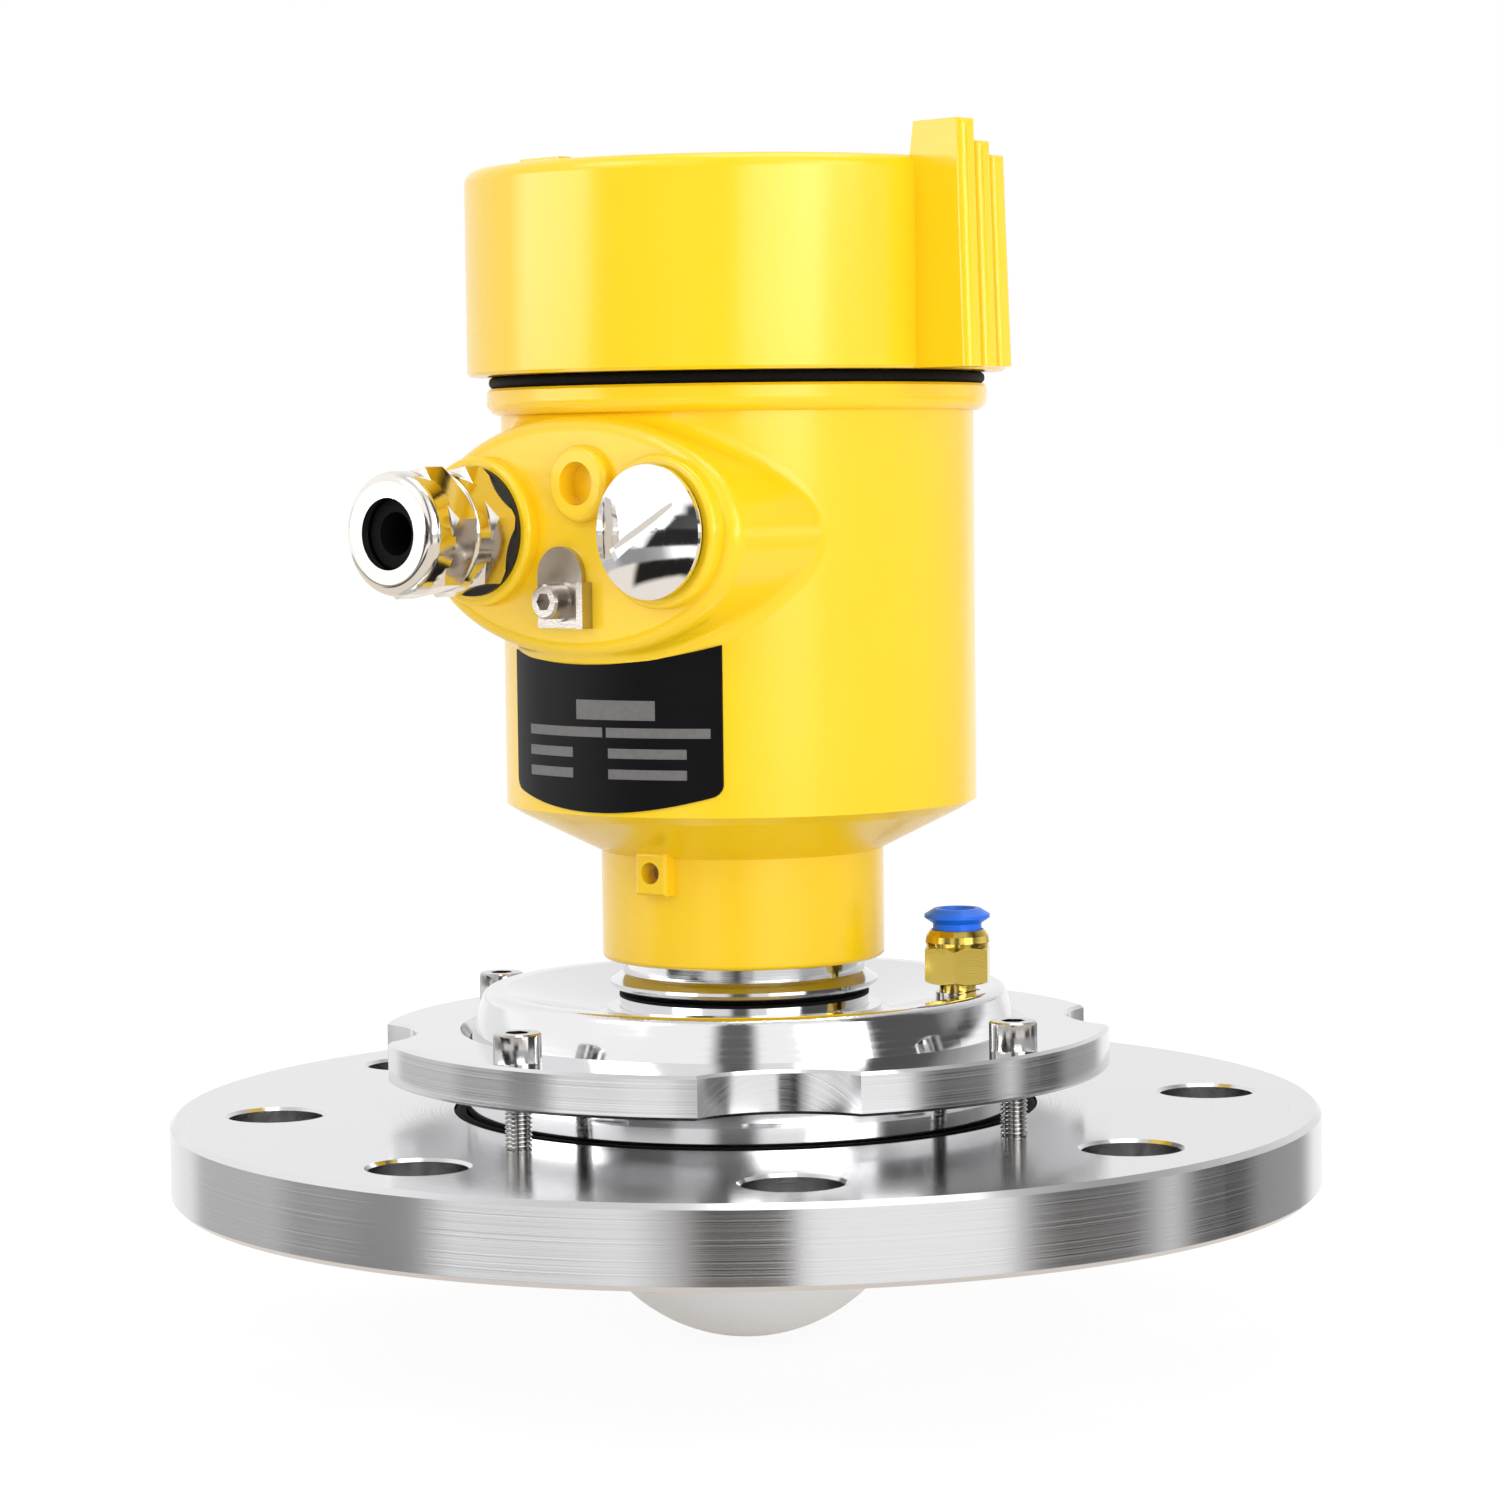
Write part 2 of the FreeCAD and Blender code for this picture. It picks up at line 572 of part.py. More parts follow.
def antenna_lens():
    """A plastic lens: a dome below, a shallow crown above and a flange that the ring clamps."""
    dome_centre = LENS_POLE_HEIGHT + LENS_DOME_RADIUS
    tip_radius = LENS_TIP_DIAMETER / 2
    tip_height = dome_centre - math.sqrt(LENS_DOME_RADIUS ** 2 - tip_radius ** 2)
    dome = Part.makeSphere(LENS_DOME_RADIUS, at(0, 0, dome_centre))
    dome = dome.common(disc(LENS_DOME_RADIUS, tip_height, dome_centre))
    barrel = disc(LENS_DOME_RADIUS, dome_centre, LENS_FLANGE_HEIGHT)
    flange = disc(LENS_FLANGE_RADIUS, LENS_FLANGE_HEIGHT, LENS_FLANGE_TOP)
    crown_radius = (LENS_CROWN_RADIUS ** 2 + LENS_CROWN_HEIGHT ** 2) / (2 * LENS_CROWN_HEIGHT)
    crown = Part.makeSphere(crown_radius, at(0, 0, LENS_FLANGE_TOP + LENS_CROWN_HEIGHT - crown_radius))
    crown = crown.common(disc(LENS_CROWN_RADIUS, LENS_FLANGE_TOP, LENS_FLANGE_TOP + LENS_CROWN_HEIGHT))
    lens = dome.fuse([barrel, flange, crown]).removeSplitter()
    middle = (LENS_FLANGE_HEIGHT + LENS_FLANGE_TOP) / 2
    half_groove = LENS_RING_SECTION / 2 + SEAL_CLEARANCE
    groove_floor = LENS_BORE_RADIUS - LENS_RING_SECTION - 2 * SEAL_CLEARANCE
    return lens.cut(sleeve(LENS_BORE_RADIUS, groove_floor, middle - half_groove, middle + half_groove))


def lens_o_ring():
    middle = (LENS_FLANGE_HEIGHT + LENS_FLANGE_TOP) / 2
    radius = LENS_BORE_RADIUS - SEAL_CLEARANCE - LENS_RING_SECTION / 2
    return rubber_ring(radius, LENS_RING_SECTION, middle)


def lens_retaining_ring():
    ring = sleeve(LENS_BORE_RADIUS - SCREW_CLEARANCE, LENS_DOME_RADIUS + SEAT_CLEARANCE,
                  BALL_BOTTOM_HEIGHT, LENS_FLANGE_HEIGHT)
    slot = block(LENS_DOME_RADIUS, LENS_BORE_RADIUS, -1.5, 1.5, BALL_BOTTOM_HEIGHT, BALL_BOTTOM_HEIGHT + 2)
    return ring.cut(around(slot, 4))


def feed_horn():
    """The metal horn between the lens and the waveguide that leads up to the radar module."""
    low = LENS_FLANGE_TOP
    lip = low + HORN_LIP_THICKNESS
    return turned([
        (HORN_MOUTH_RADIUS - HORN_WALL, low),
        (HORN_CHAMBER_RADIUS - SCREW_CLEARANCE, low),
        (HORN_CHAMBER_RADIUS - SCREW_CLEARANCE, lip),
        (HORN_MOUTH_RADIUS - HORN_WALL, lip),
        (WAVEGUIDE_RADIUS, HORN_THROAT_HEIGHT),
        (WAVEGUIDE_RADIUS, MODULE_SEAT_HEIGHT),
        (WAVEGUIDE_BORE_RADIUS, MODULE_SEAT_HEIGHT),
        (WAVEGUIDE_BORE_RADIUS, HORN_THROAT_HEIGHT),
    ])


def stem():
    """The stainless stem: screwed into the ball below, and a bearing spigot for the housing above."""
    groove_top = STEM_GROOVE_HEIGHT + STEM_GROOVE_WIDTH
    ridge_middle = (STEM_RIDGE_LOW + STEM_RIDGE_HIGH) / 2
    module_bore = MODULE_RADIUS + 0.1
    stop_low = SET_SCREW_HEIGHT - STOP_GROOVE_WIDTH / 2
    stop_high = SET_SCREW_HEIGHT + STOP_GROOVE_WIDTH / 2
    return turned([
        (STEM_BORE_RADIUS, STEM_SEAT_HEIGHT),
        (STEM_LOWER_RADIUS, STEM_SEAT_HEIGHT),
        (STEM_LOWER_RADIUS, STEM_GROOVE_HEIGHT),
        (STEM_LOWER_RADIUS - STEM_GROOVE_DEPTH, STEM_GROOVE_HEIGHT),
        (STEM_LOWER_RADIUS - STEM_GROOVE_DEPTH, groove_top),
        (STEM_UPPER_RADIUS, groove_top),
        (STEM_RIDGE_RADIUS, ridge_middle - 0.3),
        (STEM_RIDGE_RADIUS, ridge_middle + 0.3),
        (STEM_UPPER_RADIUS, STEM_RIDGE_HIGH),
        (STEM_UPPER_RADIUS, STEM_SHOULDER_HEIGHT),
        (STEM_SPIGOT_RADIUS, STEM_SHOULDER_HEIGHT),
        (STEM_SPIGOT_RADIUS, stop_low),
        (STEM_SPIGOT_RADIUS - STOP_GROOVE_DEPTH, stop_low),
        (STEM_SPIGOT_RADIUS - STOP_GROOVE_DEPTH, stop_high),
        (STEM_SPIGOT_RADIUS, stop_high),
        (STEM_SPIGOT_RADIUS, STEM_TOP_HEIGHT - STEM_EDGE_CHAMFER),
        (STEM_SPIGOT_RADIUS - STEM_EDGE_CHAMFER, STEM_TOP_HEIGHT),
        (module_bore, STEM_TOP_HEIGHT),
        (module_bore, MODULE_SEAT_HEIGHT),
        (STEM_BORE_RADIUS, MODULE_SEAT_HEIGHT),
    ])


def stem_o_ring():
    low = STEM_GROOVE_HEIGHT + SEAL_CLEARANCE / 2
    high = STEM_GROOVE_HEIGHT + STEM_GROOVE_WIDTH - SEAL_CLEARANCE / 2
    inner = STEM_LOWER_RADIUS - STEM_GROOVE_DEPTH + SEAL_CLEARANCE
    return sleeve(STEM_LOWER_RADIUS + SEAL_CLEARANCE, inner, low, high)


def radar_module():
    """The radar circuit in its metal can, on top of the waveguide, with a plug for its lead."""
    can = disc(MODULE_RADIUS, MODULE_SEAT_HEIGHT, MODULE_SEAT_HEIGHT + MODULE_HEIGHT)
    socket_top = MODULE_SEAT_HEIGHT + MODULE_HEIGHT + 2.5
    return can.fuse(block(-4, 4, -2.5, 2.5, MODULE_SEAT_HEIGHT + MODULE_HEIGHT, socket_top))


def thread_teeth(crest, root, low, high):
    """Outline points of a thread drawn as rings, for as many turns as fit from low to high."""
    points = []
    for turn in range(int((high - low) / THREAD_PITCH)):
        start = low + THREAD_PITCH * turn
        points += [(root, start), (crest, start + 0.4 * THREAD_PITCH), (crest, start + 0.6 * THREAD_PITCH)]
    return points


def housing_shell():
    """The turned outer form of the casting, without its pad and lug."""
    low = STEM_SHOULDER_HEIGHT + TURN_CLEARANCE
    thread_low = COLLAR_HIGH + LID_SEAL_SECTION + 2
    shell = turned([
        (0, low),
        (NECK_RADIUS, low),
        (NECK_RADIUS, NECK_TOP_HEIGHT),
        (SHOULDER_RADIUS, SHOULDER_HEIGHT),
        (HOUSING_RADIUS, HOUSING_CORNER_HEIGHT),
        (HOUSING_RADIUS, COLLAR_LOW),
        (COLLAR_RADIUS, COLLAR_LOW),
        (COLLAR_RADIUS, COLLAR_HIGH),
        (SPIGOT_NECK_RADIUS, COLLAR_HIGH),
        (SPIGOT_NECK_RADIUS, thread_low),
        *thread_teeth(SPIGOT_RADIUS, SPIGOT_RADIUS - THREAD_DEPTH, thread_low, SPIGOT_TOP_HEIGHT),
        (SPIGOT_RADIUS - THREAD_DEPTH, SPIGOT_TOP_HEIGHT),
        (0, SPIGOT_TOP_HEIGHT),
    ])
    shell = shell.makeFillet(COLLAR_ROUND, ring_edges(shell, [(COLLAR_RADIUS, COLLAR_LOW)]))
    shell = shell.makeChamfer(COLLAR_CHAMFER, ring_edges(shell, [(COLLAR_RADIUS, COLLAR_HIGH)]))
    shell = shell.makeFillet(NECK_EDGE_ROUND, ring_edges(shell, [(NECK_RADIUS, low)]))
    return shell.makeFillet(SHOULDER_ROUND, ring_edges(shell, [(SHOULDER_RADIUS, SHOULDER_HEIGHT)]))


def oval_bar(half_width, half_height, length):
    """A bar along +Z with an oval section."""
    oval = Part.Ellipse(at(0, 0, 0), half_width, half_height)
    return Part.Face(Part.Wire(oval.toShape())).extrude(at(0, 0, length))


def entry_pad():
    """The oval pad that the cable entries stand on."""
    oval = oval_bar(PAD_HALF_WIDTH, PAD_HALF_HEIGHT, PAD_FACE)
    front = [edge for edge in oval.Edges if edge.BoundBox.ZMin > PAD_FACE - 0.01]
    return point_outward(oval.makeFillet(PAD_ROUND, front), 0, PAD_HEIGHT, 0)


def entry_places():
    """Where the two cable entries sit across the pad: the gland's, then the plug's."""
    return [-ENTRY_SPACING / 2, ENTRY_SPACING / 2]


def raised_rim(radius, face, x, z):
    """A round rim or boss that stands on the pad, its front edge rounded."""
    rim = disc(radius, 0, face)
    rim = rim.makeFillet(RIM_BLEND, ring_edges(rim, [(radius, face)]))
    return point_outward(rim, x, z, 0)


def neck_lug():
    """The lug on the neck that carries the set screw, with its top corner cut away."""
    low = SET_SCREW_HEIGHT - LUG_BELOW_SCREW
    high = SET_SCREW_HEIGHT + LUG_ABOVE_SCREW
    profile = Part.makePolygon([
        at(-LUG_WIDTH / 2, -NECK_BORE_RADIUS - 2, low),
        at(-LUG_WIDTH / 2, -LUG_FACE, low),
        at(-LUG_WIDTH / 2, -LUG_FACE, high - LUG_BEVEL),
        at(-LUG_WIDTH / 2, -LUG_FACE + LUG_BEVEL, high),
        at(-LUG_WIDTH / 2, -NECK_BORE_RADIUS - 2, high),
        at(-LUG_WIDTH / 2, -NECK_BORE_RADIUS - 2, low),
    ])
    lug = Part.Face(profile).extrude(at(LUG_WIDTH, 0, 0))
    front = [edge for edge in lug.Edges if edge.BoundBox.YMax < -LUG_FACE + LUG_BEVEL + 0.01]
    return turned_to_lug(lug.makeFillet(LUG_ROUND, front))


def turned_to_lug(shape):
    """Turns a shape made for the -Y side to the lug's place round the neck."""
    placed = shape.copy()
    placed.rotate(at(0, 0, 0), Z_AXIS, LUG_TURN)
    return placed


def pad_foot_edges(body):
    """The edges where the pad meets the barrel."""
    found = []
    for edge in body.Edges:
        span = edge.LastParameter - edge.FirstParameter
        points = [edge.valueAt(edge.FirstParameter + span * step / 6) for step in range(7)]
        on_barrel = all(abs(math.hypot(point.x, point.y) - HOUSING_RADIUS) < 0.01 for point in points)
        level = all(abs(point.z - points[0].z) < 0.01 for point in points)
        if on_barrel and not level and not isinstance(edge.Curve, Part.Line) and points[3].y < 0:
            found.append(edge)
    return found


def housing_body():
    """The cast housing: a turned shell with the entry pad and the neck lug, hollowed out."""
    body = housing_shell().fuse(entry_pad()).removeSplitter()
    body = body.makeFillet(PAD_BLEND, pad_foot_edges(body))
    raised = [neck_lug(), raised_rim(BOSS_RADIUS, BOSS_FACE, BOSS_OFFSET, BOSS_HEIGHT)]
    for x in entry_places():
        raised.append(raised_rim(ENTRY_RIM_RADIUS, ENTRY_FACE, x, ENTRY_HEIGHT))
    body = body.fuse(raised)
    inner = HOUSING_RADIUS - HOUSING_WALL
    cavity = turned([
        (0, STEM_SHOULDER_HEIGHT),
        (NECK_BORE_RADIUS, STEM_SHOULDER_HEIGHT),
        (NECK_BORE_RADIUS, NECK_BORE_TOP_HEIGHT),
        (CABLE_PASSAGE_RADIUS, NECK_BORE_TOP_HEIGHT),
        (CABLE_PASSAGE_RADIUS, HOUSING_FLOOR_HEIGHT),
        (inner, HOUSING_FLOOR_HEIGHT),
        (inner, SPIGOT_TOP_HEIGHT + 1),
        (0, SPIGOT_TOP_HEIGHT + 1),
    ])
    body = body.cut(cavity)
    for x in entry_places():
        body = body.cut(rod_outward(ENTRY_THREAD_RADIUS, 0, ENTRY_FACE + 1, x, ENTRY_HEIGHT))
    recess_floor = BOSS_FACE - BOSS_RECESS_DEPTH
    body = body.cut(rod_outward(BOSS_RECESS_RADIUS, recess_floor, BOSS_FACE + 1, BOSS_OFFSET, BOSS_HEIGHT))
    screw_radius = SET_SCREW_DIAMETER / 2 + SCREW_CLEARANCE
    screw_hole = rod_outward(screw_radius, NECK_BORE_RADIUS - 2, LUG_FACE + 1, 0, SET_SCREW_HEIGHT)
    body = body.cut(turned_to_lug(screw_hole))
    ground_thread = GROUND_SCREW_DIAMETER / 2 + SCREW_CLEARANCE
    ground_end = PAD_FACE + GROUND_PLATE_THICKNESS + GROUND_WASHER_THICKNESS - GROUND_SCREW_LENGTH
    thread = rod_outward(ground_thread, ground_end - 0.5, PAD_FACE + 1, GROUND_OFFSET, GROUND_HEIGHT)
    return body.cut(thread).removeSplitter()


def neck_bush():
    return sleeve(NECK_BORE_RADIUS, STEM_SPIGOT_RADIUS + SHAFT_CLEARANCE, BUSH_LOW, BUSH_HIGH)


def neck_o_ring():
    section = NECK_BORE_RADIUS - STEM_SPIGOT_RADIUS - 2 * SEAL_CLEARANCE
    radius = (NECK_BORE_RADIUS + STEM_SPIGOT_RADIUS) / 2
    return rubber_ring(radius, section, NECK_SEAL_LOW + section / 2)


def neck_set_screw():
    """A headless screw whose point runs in the stem's groove and keeps the housing on."""
    point_gap = 0.3
    tip = STEM_SPIGOT_RADIUS - STOP_GROOVE_DEPTH + point_gap
    start = NECK_BORE_RADIUS + 0.3
    end = LUG_FACE - SET_SCREW_SINK
    screw = rod_outward(SET_SCREW_DIAMETER / 2, start, end, 0, SET_SCREW_HEIGHT)
    screw = screw.fuse(rod_outward(SET_SCREW_POINT_DIAMETER / 2, tip, start, 0, SET_SCREW_HEIGHT))
    key = point_outward(hexagon(SET_SCREW_KEY, 0, 3), 0, SET_SCREW_HEIGHT, end - 2)
    return turned_to_lug(screw.cut(key))


def lid_o_ring():
    radius = SPIGOT_NECK_RADIUS + SEAL_CLEARANCE / 2 + LID_SEAL_SECTION / 2
    return rubber_ring(radius, LID_SEAL_SECTION, COLLAR_HIGH + LID_SEAL_SECTION / 2)


def electronics_cup():
    """The plastic cup over the electronics, open below, with a hole for the display's lead."""
    cup = disc(CUP_RADIUS, HOUSING_FLOOR_HEIGHT, CUP_TOP)
    cup = cup.cut(disc(CUP_RADIUS - CUP_WALL, HOUSING_FLOOR_HEIGHT, CUP_TOP - CUP_WALL))
    lead_hole = disc(LEAD_HOLE_RADIUS, CUP_TOP - CUP_WALL, CUP_TOP, 0, LEAD_HOLE_Y)
    cup = cup.cut(lead_hole)
    post = disc(BOARD_POST_RADIUS, BOARD_HEIGHT + BOARD_THICKNESS, CUP_TOP - CUP_WALL, BOARD_POST_CIRCLE)
    return cup.fuse(around(post, BOARD_POST_COUNT, 45)).removeSplitter()


def half_round(radius, front, low, high):
    """A disc about Z without its part in front of a plane."""
    return disc(radius, low, high).cut(block(-radius, radius, -radius, front, low, high))


def display_carrier():
    """The half-round hollow tower on the cup, behind the terminals, that carries the display."""
    tower = half_round(CUP_TOWER_RADIUS, CUP_TOWER_FRONT, CUP_TOP, TOWER_TOP)
    inner = CUP_TOWER_RADIUS - CUP_WALL
    hollow = half_round(inner, CUP_TOWER_FRONT + CUP_WALL, CUP_TOP, TOWER_TOP - CUP_WALL)
    return tower.cut(hollow)


def main_circuit_board():
    """The round board in the cup, with its largest components and a socket below for the radar's lead."""
    top = BOARD_HEIGHT + BOARD_THICKNESS
    board = disc(BOARD_RADIUS, BOARD_HEIGHT, top)
    half_chip = CHIP_LENGTH / 2
    chip = block(-half_chip, half_chip, -half_chip, half_chip, top, top + CHIP_HEIGHT)
    transformer = block(TRANSFORMER_X - TRANSFORMER_WIDTH / 2, TRANSFORMER_X + TRANSFORMER_WIDTH / 2,
                        -TRANSFORMER_LENGTH / 2, TRANSFORMER_LENGTH / 2, top, top + TRANSFORMER_HEIGHT)
    plug_row = block(-PLUG_ROW_LENGTH / 2, PLUG_ROW_LENGTH / 2, PLUG_ROW_Y - PLUG_ROW_WIDTH / 2,
                     PLUG_ROW_Y + PLUG_ROW_WIDTH / 2, top, top + PLUG_ROW_WIDTH)
    half_socket = LEAD_SOCKET_WIDTH / 2
    lead_socket = block(-half_socket, half_socket, -half_socket, half_socket,
                        BOARD_HEIGHT - LEAD_SOCKET_HEIGHT, BOARD_HEIGHT)
    parts = [chip, transformer, plug_row, lead_socket]
    for y in (-CAPACITOR_SPACING / 2, CAPACITOR_SPACING / 2):
        parts.append(disc(CAPACITOR_RADIUS, top, top + CAPACITOR_HEIGHT, CAPACITOR_X, y))
    return board.fuse(parts)


def terminal_places():
    first = -TERMINAL_PITCH * (TERMINAL_COUNT - 1) / 2
    return [first + TERMINAL_PITCH * index for index in range(TERMINAL_COUNT)]


def terminal_block():
    """The row of screw terminals in front of the tower, with wire openings that face -Y."""
    back = CUP_TOWER_FRONT - 0.5
    front = back - TERMINAL_DEPTH
    top = CUP_TOP + TERMINAL_HEIGHT
    row = block(-TERMINAL_LENGTH / 2, TERMINAL_LENGTH / 2, front, back, CUP_TOP, top)
    middle = (front + back) / 2
    for x in terminal_places():
        row = row.cut(disc(TERMINAL_SCREW_DIAMETER / 2 + 0.1, top - TERMINAL_SCREW_HEIGHT, top, x, middle))
        row = row.cut(block(x - 1.8, x + 1.8, front, front + 5, CUP_TOP + 1.2, CUP_TOP + 4.2))
    return row


def terminal_screws():
    middle = CUP_TOWER_FRONT - 0.5 - TERMINAL_DEPTH / 2
    floor = CUP_TOP + TERMINAL_HEIGHT - TERMINAL_SCREW_HEIGHT
    screws = []
    for x in terminal_places():
        screw = disc(TERMINAL_SCREW_DIAMETER / 2, floor, floor + 2.6, x, middle)
        slot = block(x - 2, x + 2, middle - 0.3, middle + 0.3, floor + 1.8, floor + 2.6)
        screws.append(screw.cut(slot))
    return Part.makeCompound(screws)


def key_places():
    first = -KEY_PITCH * (KEY_COUNT - 1) / 2
    return [first + KEY_PITCH * index for index in range(KEY_COUNT)]


def window_box(margin, low, high):
    half_width = DISPLAY_WINDOW_WIDTH / 2 - margin
    front = DISPLAY_WINDOW_Y - DISPLAY_WINDOW_DEPTH / 2 + margin
    back = DISPLAY_WINDOW_Y + DISPLAY_WINDOW_DEPTH / 2 - margin
    return block(-half_width, half_width, front, back, low, high)


def display_module():
    """The round plug-in display, with a window recess and four key sockets in its top."""
    module = disc(DISPLAY_RADIUS, TOWER_TOP, DISPLAY_TOP)
    module = module.makeFillet(2.0, ring_edges(module, [(DISPLAY_RADIUS, DISPLAY_TOP)]))
    module = module.cut(window_box(0, DISPLAY_TOP - DISPLAY_GLASS_THICKNESS, DISPLAY_TOP))
    for x in key_places():
        module = module.cut(block(x - KEY_WIDTH / 2, x + KEY_WIDTH / 2, KEY_Y - KEY_DEPTH / 2,
                                  KEY_Y + KEY_DEPTH / 2, DISPLAY_TOP - KEY_SOCKET_DEPTH, DISPLAY_TOP))
    return module


def display_glass():
    return window_box(0.1, DISPLAY_TOP - DISPLAY_GLASS_THICKNESS, DISPLAY_TOP)


def display_key(x):
    """One rubber-topped key, which sinks into its socket."""
    half_width = KEY_WIDTH / 2 - KEY_CLEARANCE
    half_depth = KEY_DEPTH / 2 - KEY_CLEARANCE
    low = DISPLAY_TOP - KEY_SOCKET_DEPTH + KEY_TRAVEL + KEY_CLEARANCE
    high = DISPLAY_TOP + KEY_STAND
    key = block(x - half_width, x + half_width, KEY_Y - half_depth, KEY_Y + half_depth, low, high)
    top = [edge for edge in key.Edges if edge.BoundBox.ZMin > high - 0.01]
    return key.makeChamfer(KEY_CHAMFER, top)


def gland_gasket():
    ring = sleeve(GLAND_GASKET_RADIUS, ENTRY_THREAD_RADIUS, 0, GLAND_GASKET_THICKNESS)
    return point_outward(ring, -ENTRY_SPACING / 2, ENTRY_HEIGHT, ENTRY_FACE)


def gland_hex(length):
    """One of the gland's two hexagons, turned alike."""
    hex_part = hex_nut_form(GLAND_KEY, 0, length, GLAND_HEX_BEVEL)
    hex_part.rotate(at(0, 0, 0), Z_AXIS, GLAND_HEX_TURN)
    return hex_part


def gland_body():
    """The fixed part of the gland: a shank, a hexagon, a round shoulder and the thread for its nut."""
    low = -GLAND_GASKET_THICKNESS - GLAND_SHANK_LENGTH
    shank = disc(ENTRY_THREAD_RADIUS - SCREW_CLEARANCE, low, 0)
    shoulder_end = GLAND_HEX_LENGTH + GLAND_SHOULDER_LENGTH
    shoulder = disc(GLAND_SHOULDER_RADIUS, GLAND_HEX_LENGTH - 1, shoulder_end)
    front = ring_edges(shoulder, [(GLAND_SHOULDER_RADIUS, shoulder_end)])
    shoulder = shoulder.makeFillet(GLAND_SHOULDER_ROUND, front)
    thread_end = shoulder_end + GLAND_THREAD_LENGTH
    thread = disc(GLAND_THREAD_RADIUS, shoulder_end - 1, thread_end)
    body = gland_hex(GLAND_HEX_LENGTH).fuse([shank, shoulder, thread]).removeSplitter()
    body = body.cut(disc(GLAND_BORE_RADIUS, low, thread_end))
    return point_outward(body, -ENTRY_SPACING / 2, ENTRY_HEIGHT, GLAND_SEAT)


def gland_seal():
    """The rubber sleeve that the nut squeezes round the cable."""
    outer = GLAND_BORE_RADIUS - SEAL_CLEARANCE
    thread_end = GLAND_SHOULDER_END + GLAND_THREAD_LENGTH
    low = thread_end - SEAL_BACK_LENGTH
    sleeve_part = sleeve(outer, CABLE_BORE_RADIUS, low, GLAND_NUT_END - SEAL_RECESS)
    collar = sleeve(GLAND_THREAD_RADIUS - 0.8, CABLE_BORE_RADIUS, thread_end, thread_end + 1)
    ring = sleeve_part.fuse(collar).removeSplitter()
    return point_outward(ring, -ENTRY_SPACING / 2, ENTRY_HEIGHT, 0)


def gland_cap_nut():
    """The domed nut: a hexagon at its root, then a round nose that closes on the seal."""
    root = gland_hex(GLAND_NUT_HEX_LENGTH)
    nose = disc(GLAND_NOSE_RADIUS, GLAND_NUT_HEX_LENGTH - 1, GLAND_NUT_LENGTH)
    nose = nose.makeFillet(GLAND_NOSE_ROUND, ring_edges(nose, [(GLAND_NOSE_RADIUS, GLAND_NUT_LENGTH)]))
    nut = root.fuse(nose).removeSplitter()
    thread_end = GLAND_THREAD_LENGTH - GLAND_NUT_GAP + 1.3
    hollow = turned([
        (0, -1),
        (GLAND_THREAD_RADIUS + 0.3, -1),
        (GLAND_THREAD_RADIUS + 0.3, thread_end),
        (GLAND_MOUTH_RADIUS, thread_end + 1.5),
        (GLAND_MOUTH_RADIUS, GLAND_NUT_LENGTH + 1),
        (0, GLAND_NUT_LENGTH + 1),
    ])
    return point_outward(nut.cut(hollow), -ENTRY_SPACING / 2, ENTRY_HEIGHT, GLAND_NUT_START)


def plug_gasket():
    ring = sleeve(PLUG_RADIUS - 0.6, ENTRY_THREAD_RADIUS, 0, GLAND_GASKET_THICKNESS)
    return point_outward(ring, ENTRY_SPACING / 2, ENTRY_HEIGHT, ENTRY_FACE)


def blanking_plug():
    """The round plug that closes the second entry, with a low crown and a screwdriver slot."""
    rim = disc(PLUG_RADIUS, 0, PLUG_RIM)
    crown_radius = (PLUG_RADIUS ** 2 + PLUG_CROWN ** 2) / (2 * PLUG_CROWN)
    crown = Part.makeSphere(crown_radius, at(0, 0, PLUG_RIM + PLUG_CROWN - crown_radius))
    crown = crown.common(disc(PLUG_RADIUS, PLUG_RIM, PLUG_RIM + PLUG_CROWN))
    shank_radius = ENTRY_THREAD_RADIUS - SCREW_CLEARANCE
    shank = disc(shank_radius, -GLAND_GASKET_THICKNESS - PLUG_SHANK_LENGTH, 0)
    plug = rim.fuse([crown, shank]).removeSplitter()
    top = PLUG_RIM + PLUG_CROWN
    slot = block(-PLUG_SLOT_LENGTH / 2, PLUG_SLOT_LENGTH / 2, -PLUG_SLOT_WIDTH / 2, PLUG_SLOT_WIDTH / 2,
                 top - PLUG_SLOT_DEPTH, top)
    slot.rotate(at(0, 0, 0), Z_AXIS, PLUG_SLOT_TURN)
    return point_outward(plug.cut(slot), ENTRY_SPACING / 2, ENTRY_HEIGHT, GLAND_SEAT)


def ground_clamp():
    """The bent plate of the ground terminal, with a round head, a hole and one upturned edge."""
    half = GROUND_PLATE_WIDTH / 2
    near = -PAD_FACE
    far = near - GROUND_PLATE_THICKNESS
    x_low = GROUND_OFFSET - half
    x_high = GROUND_OFFSET + half
    low = GROUND_HEIGHT - GROUND_PLATE_BELOW_SCREW
    round_height = GROUND_HEIGHT + GROUND_PLATE_ABOVE_SCREW
    plate = block(x_low, x_high, far, near, low, round_height)
    head = rod_outward(half, -near, -far, GROUND_OFFSET, round_height)
    tab = block(x_high - 0.01, x_high + GROUND_TAB_WIDTH, far - GROUND_TAB_STAND, near,
                low, GROUND_HEIGHT + GROUND_TAB_ABOVE_SCREW)
    plate = plate.fuse([head, tab]).removeSplitter()
    hole_radius = GROUND_SCREW_DIAMETER / 2 + GROUND_HOLE_PLAY
    hole = rod_outward(hole_radius, -near - 1, -far + 1, GROUND_OFFSET, GROUND_HEIGHT)
    return plate.cut(hole)


def ground_washer():
    hole_radius = GROUND_SCREW_DIAMETER / 2 + GROUND_HOLE_PLAY
    ring = sleeve(GROUND_WASHER_RADIUS, hole_radius, 0, GROUND_WASHER_THICKNESS)
    return point_outward(ring, GROUND_OFFSET, GROUND_HEIGHT, PAD_FACE + GROUND_PLATE_THICKNESS)


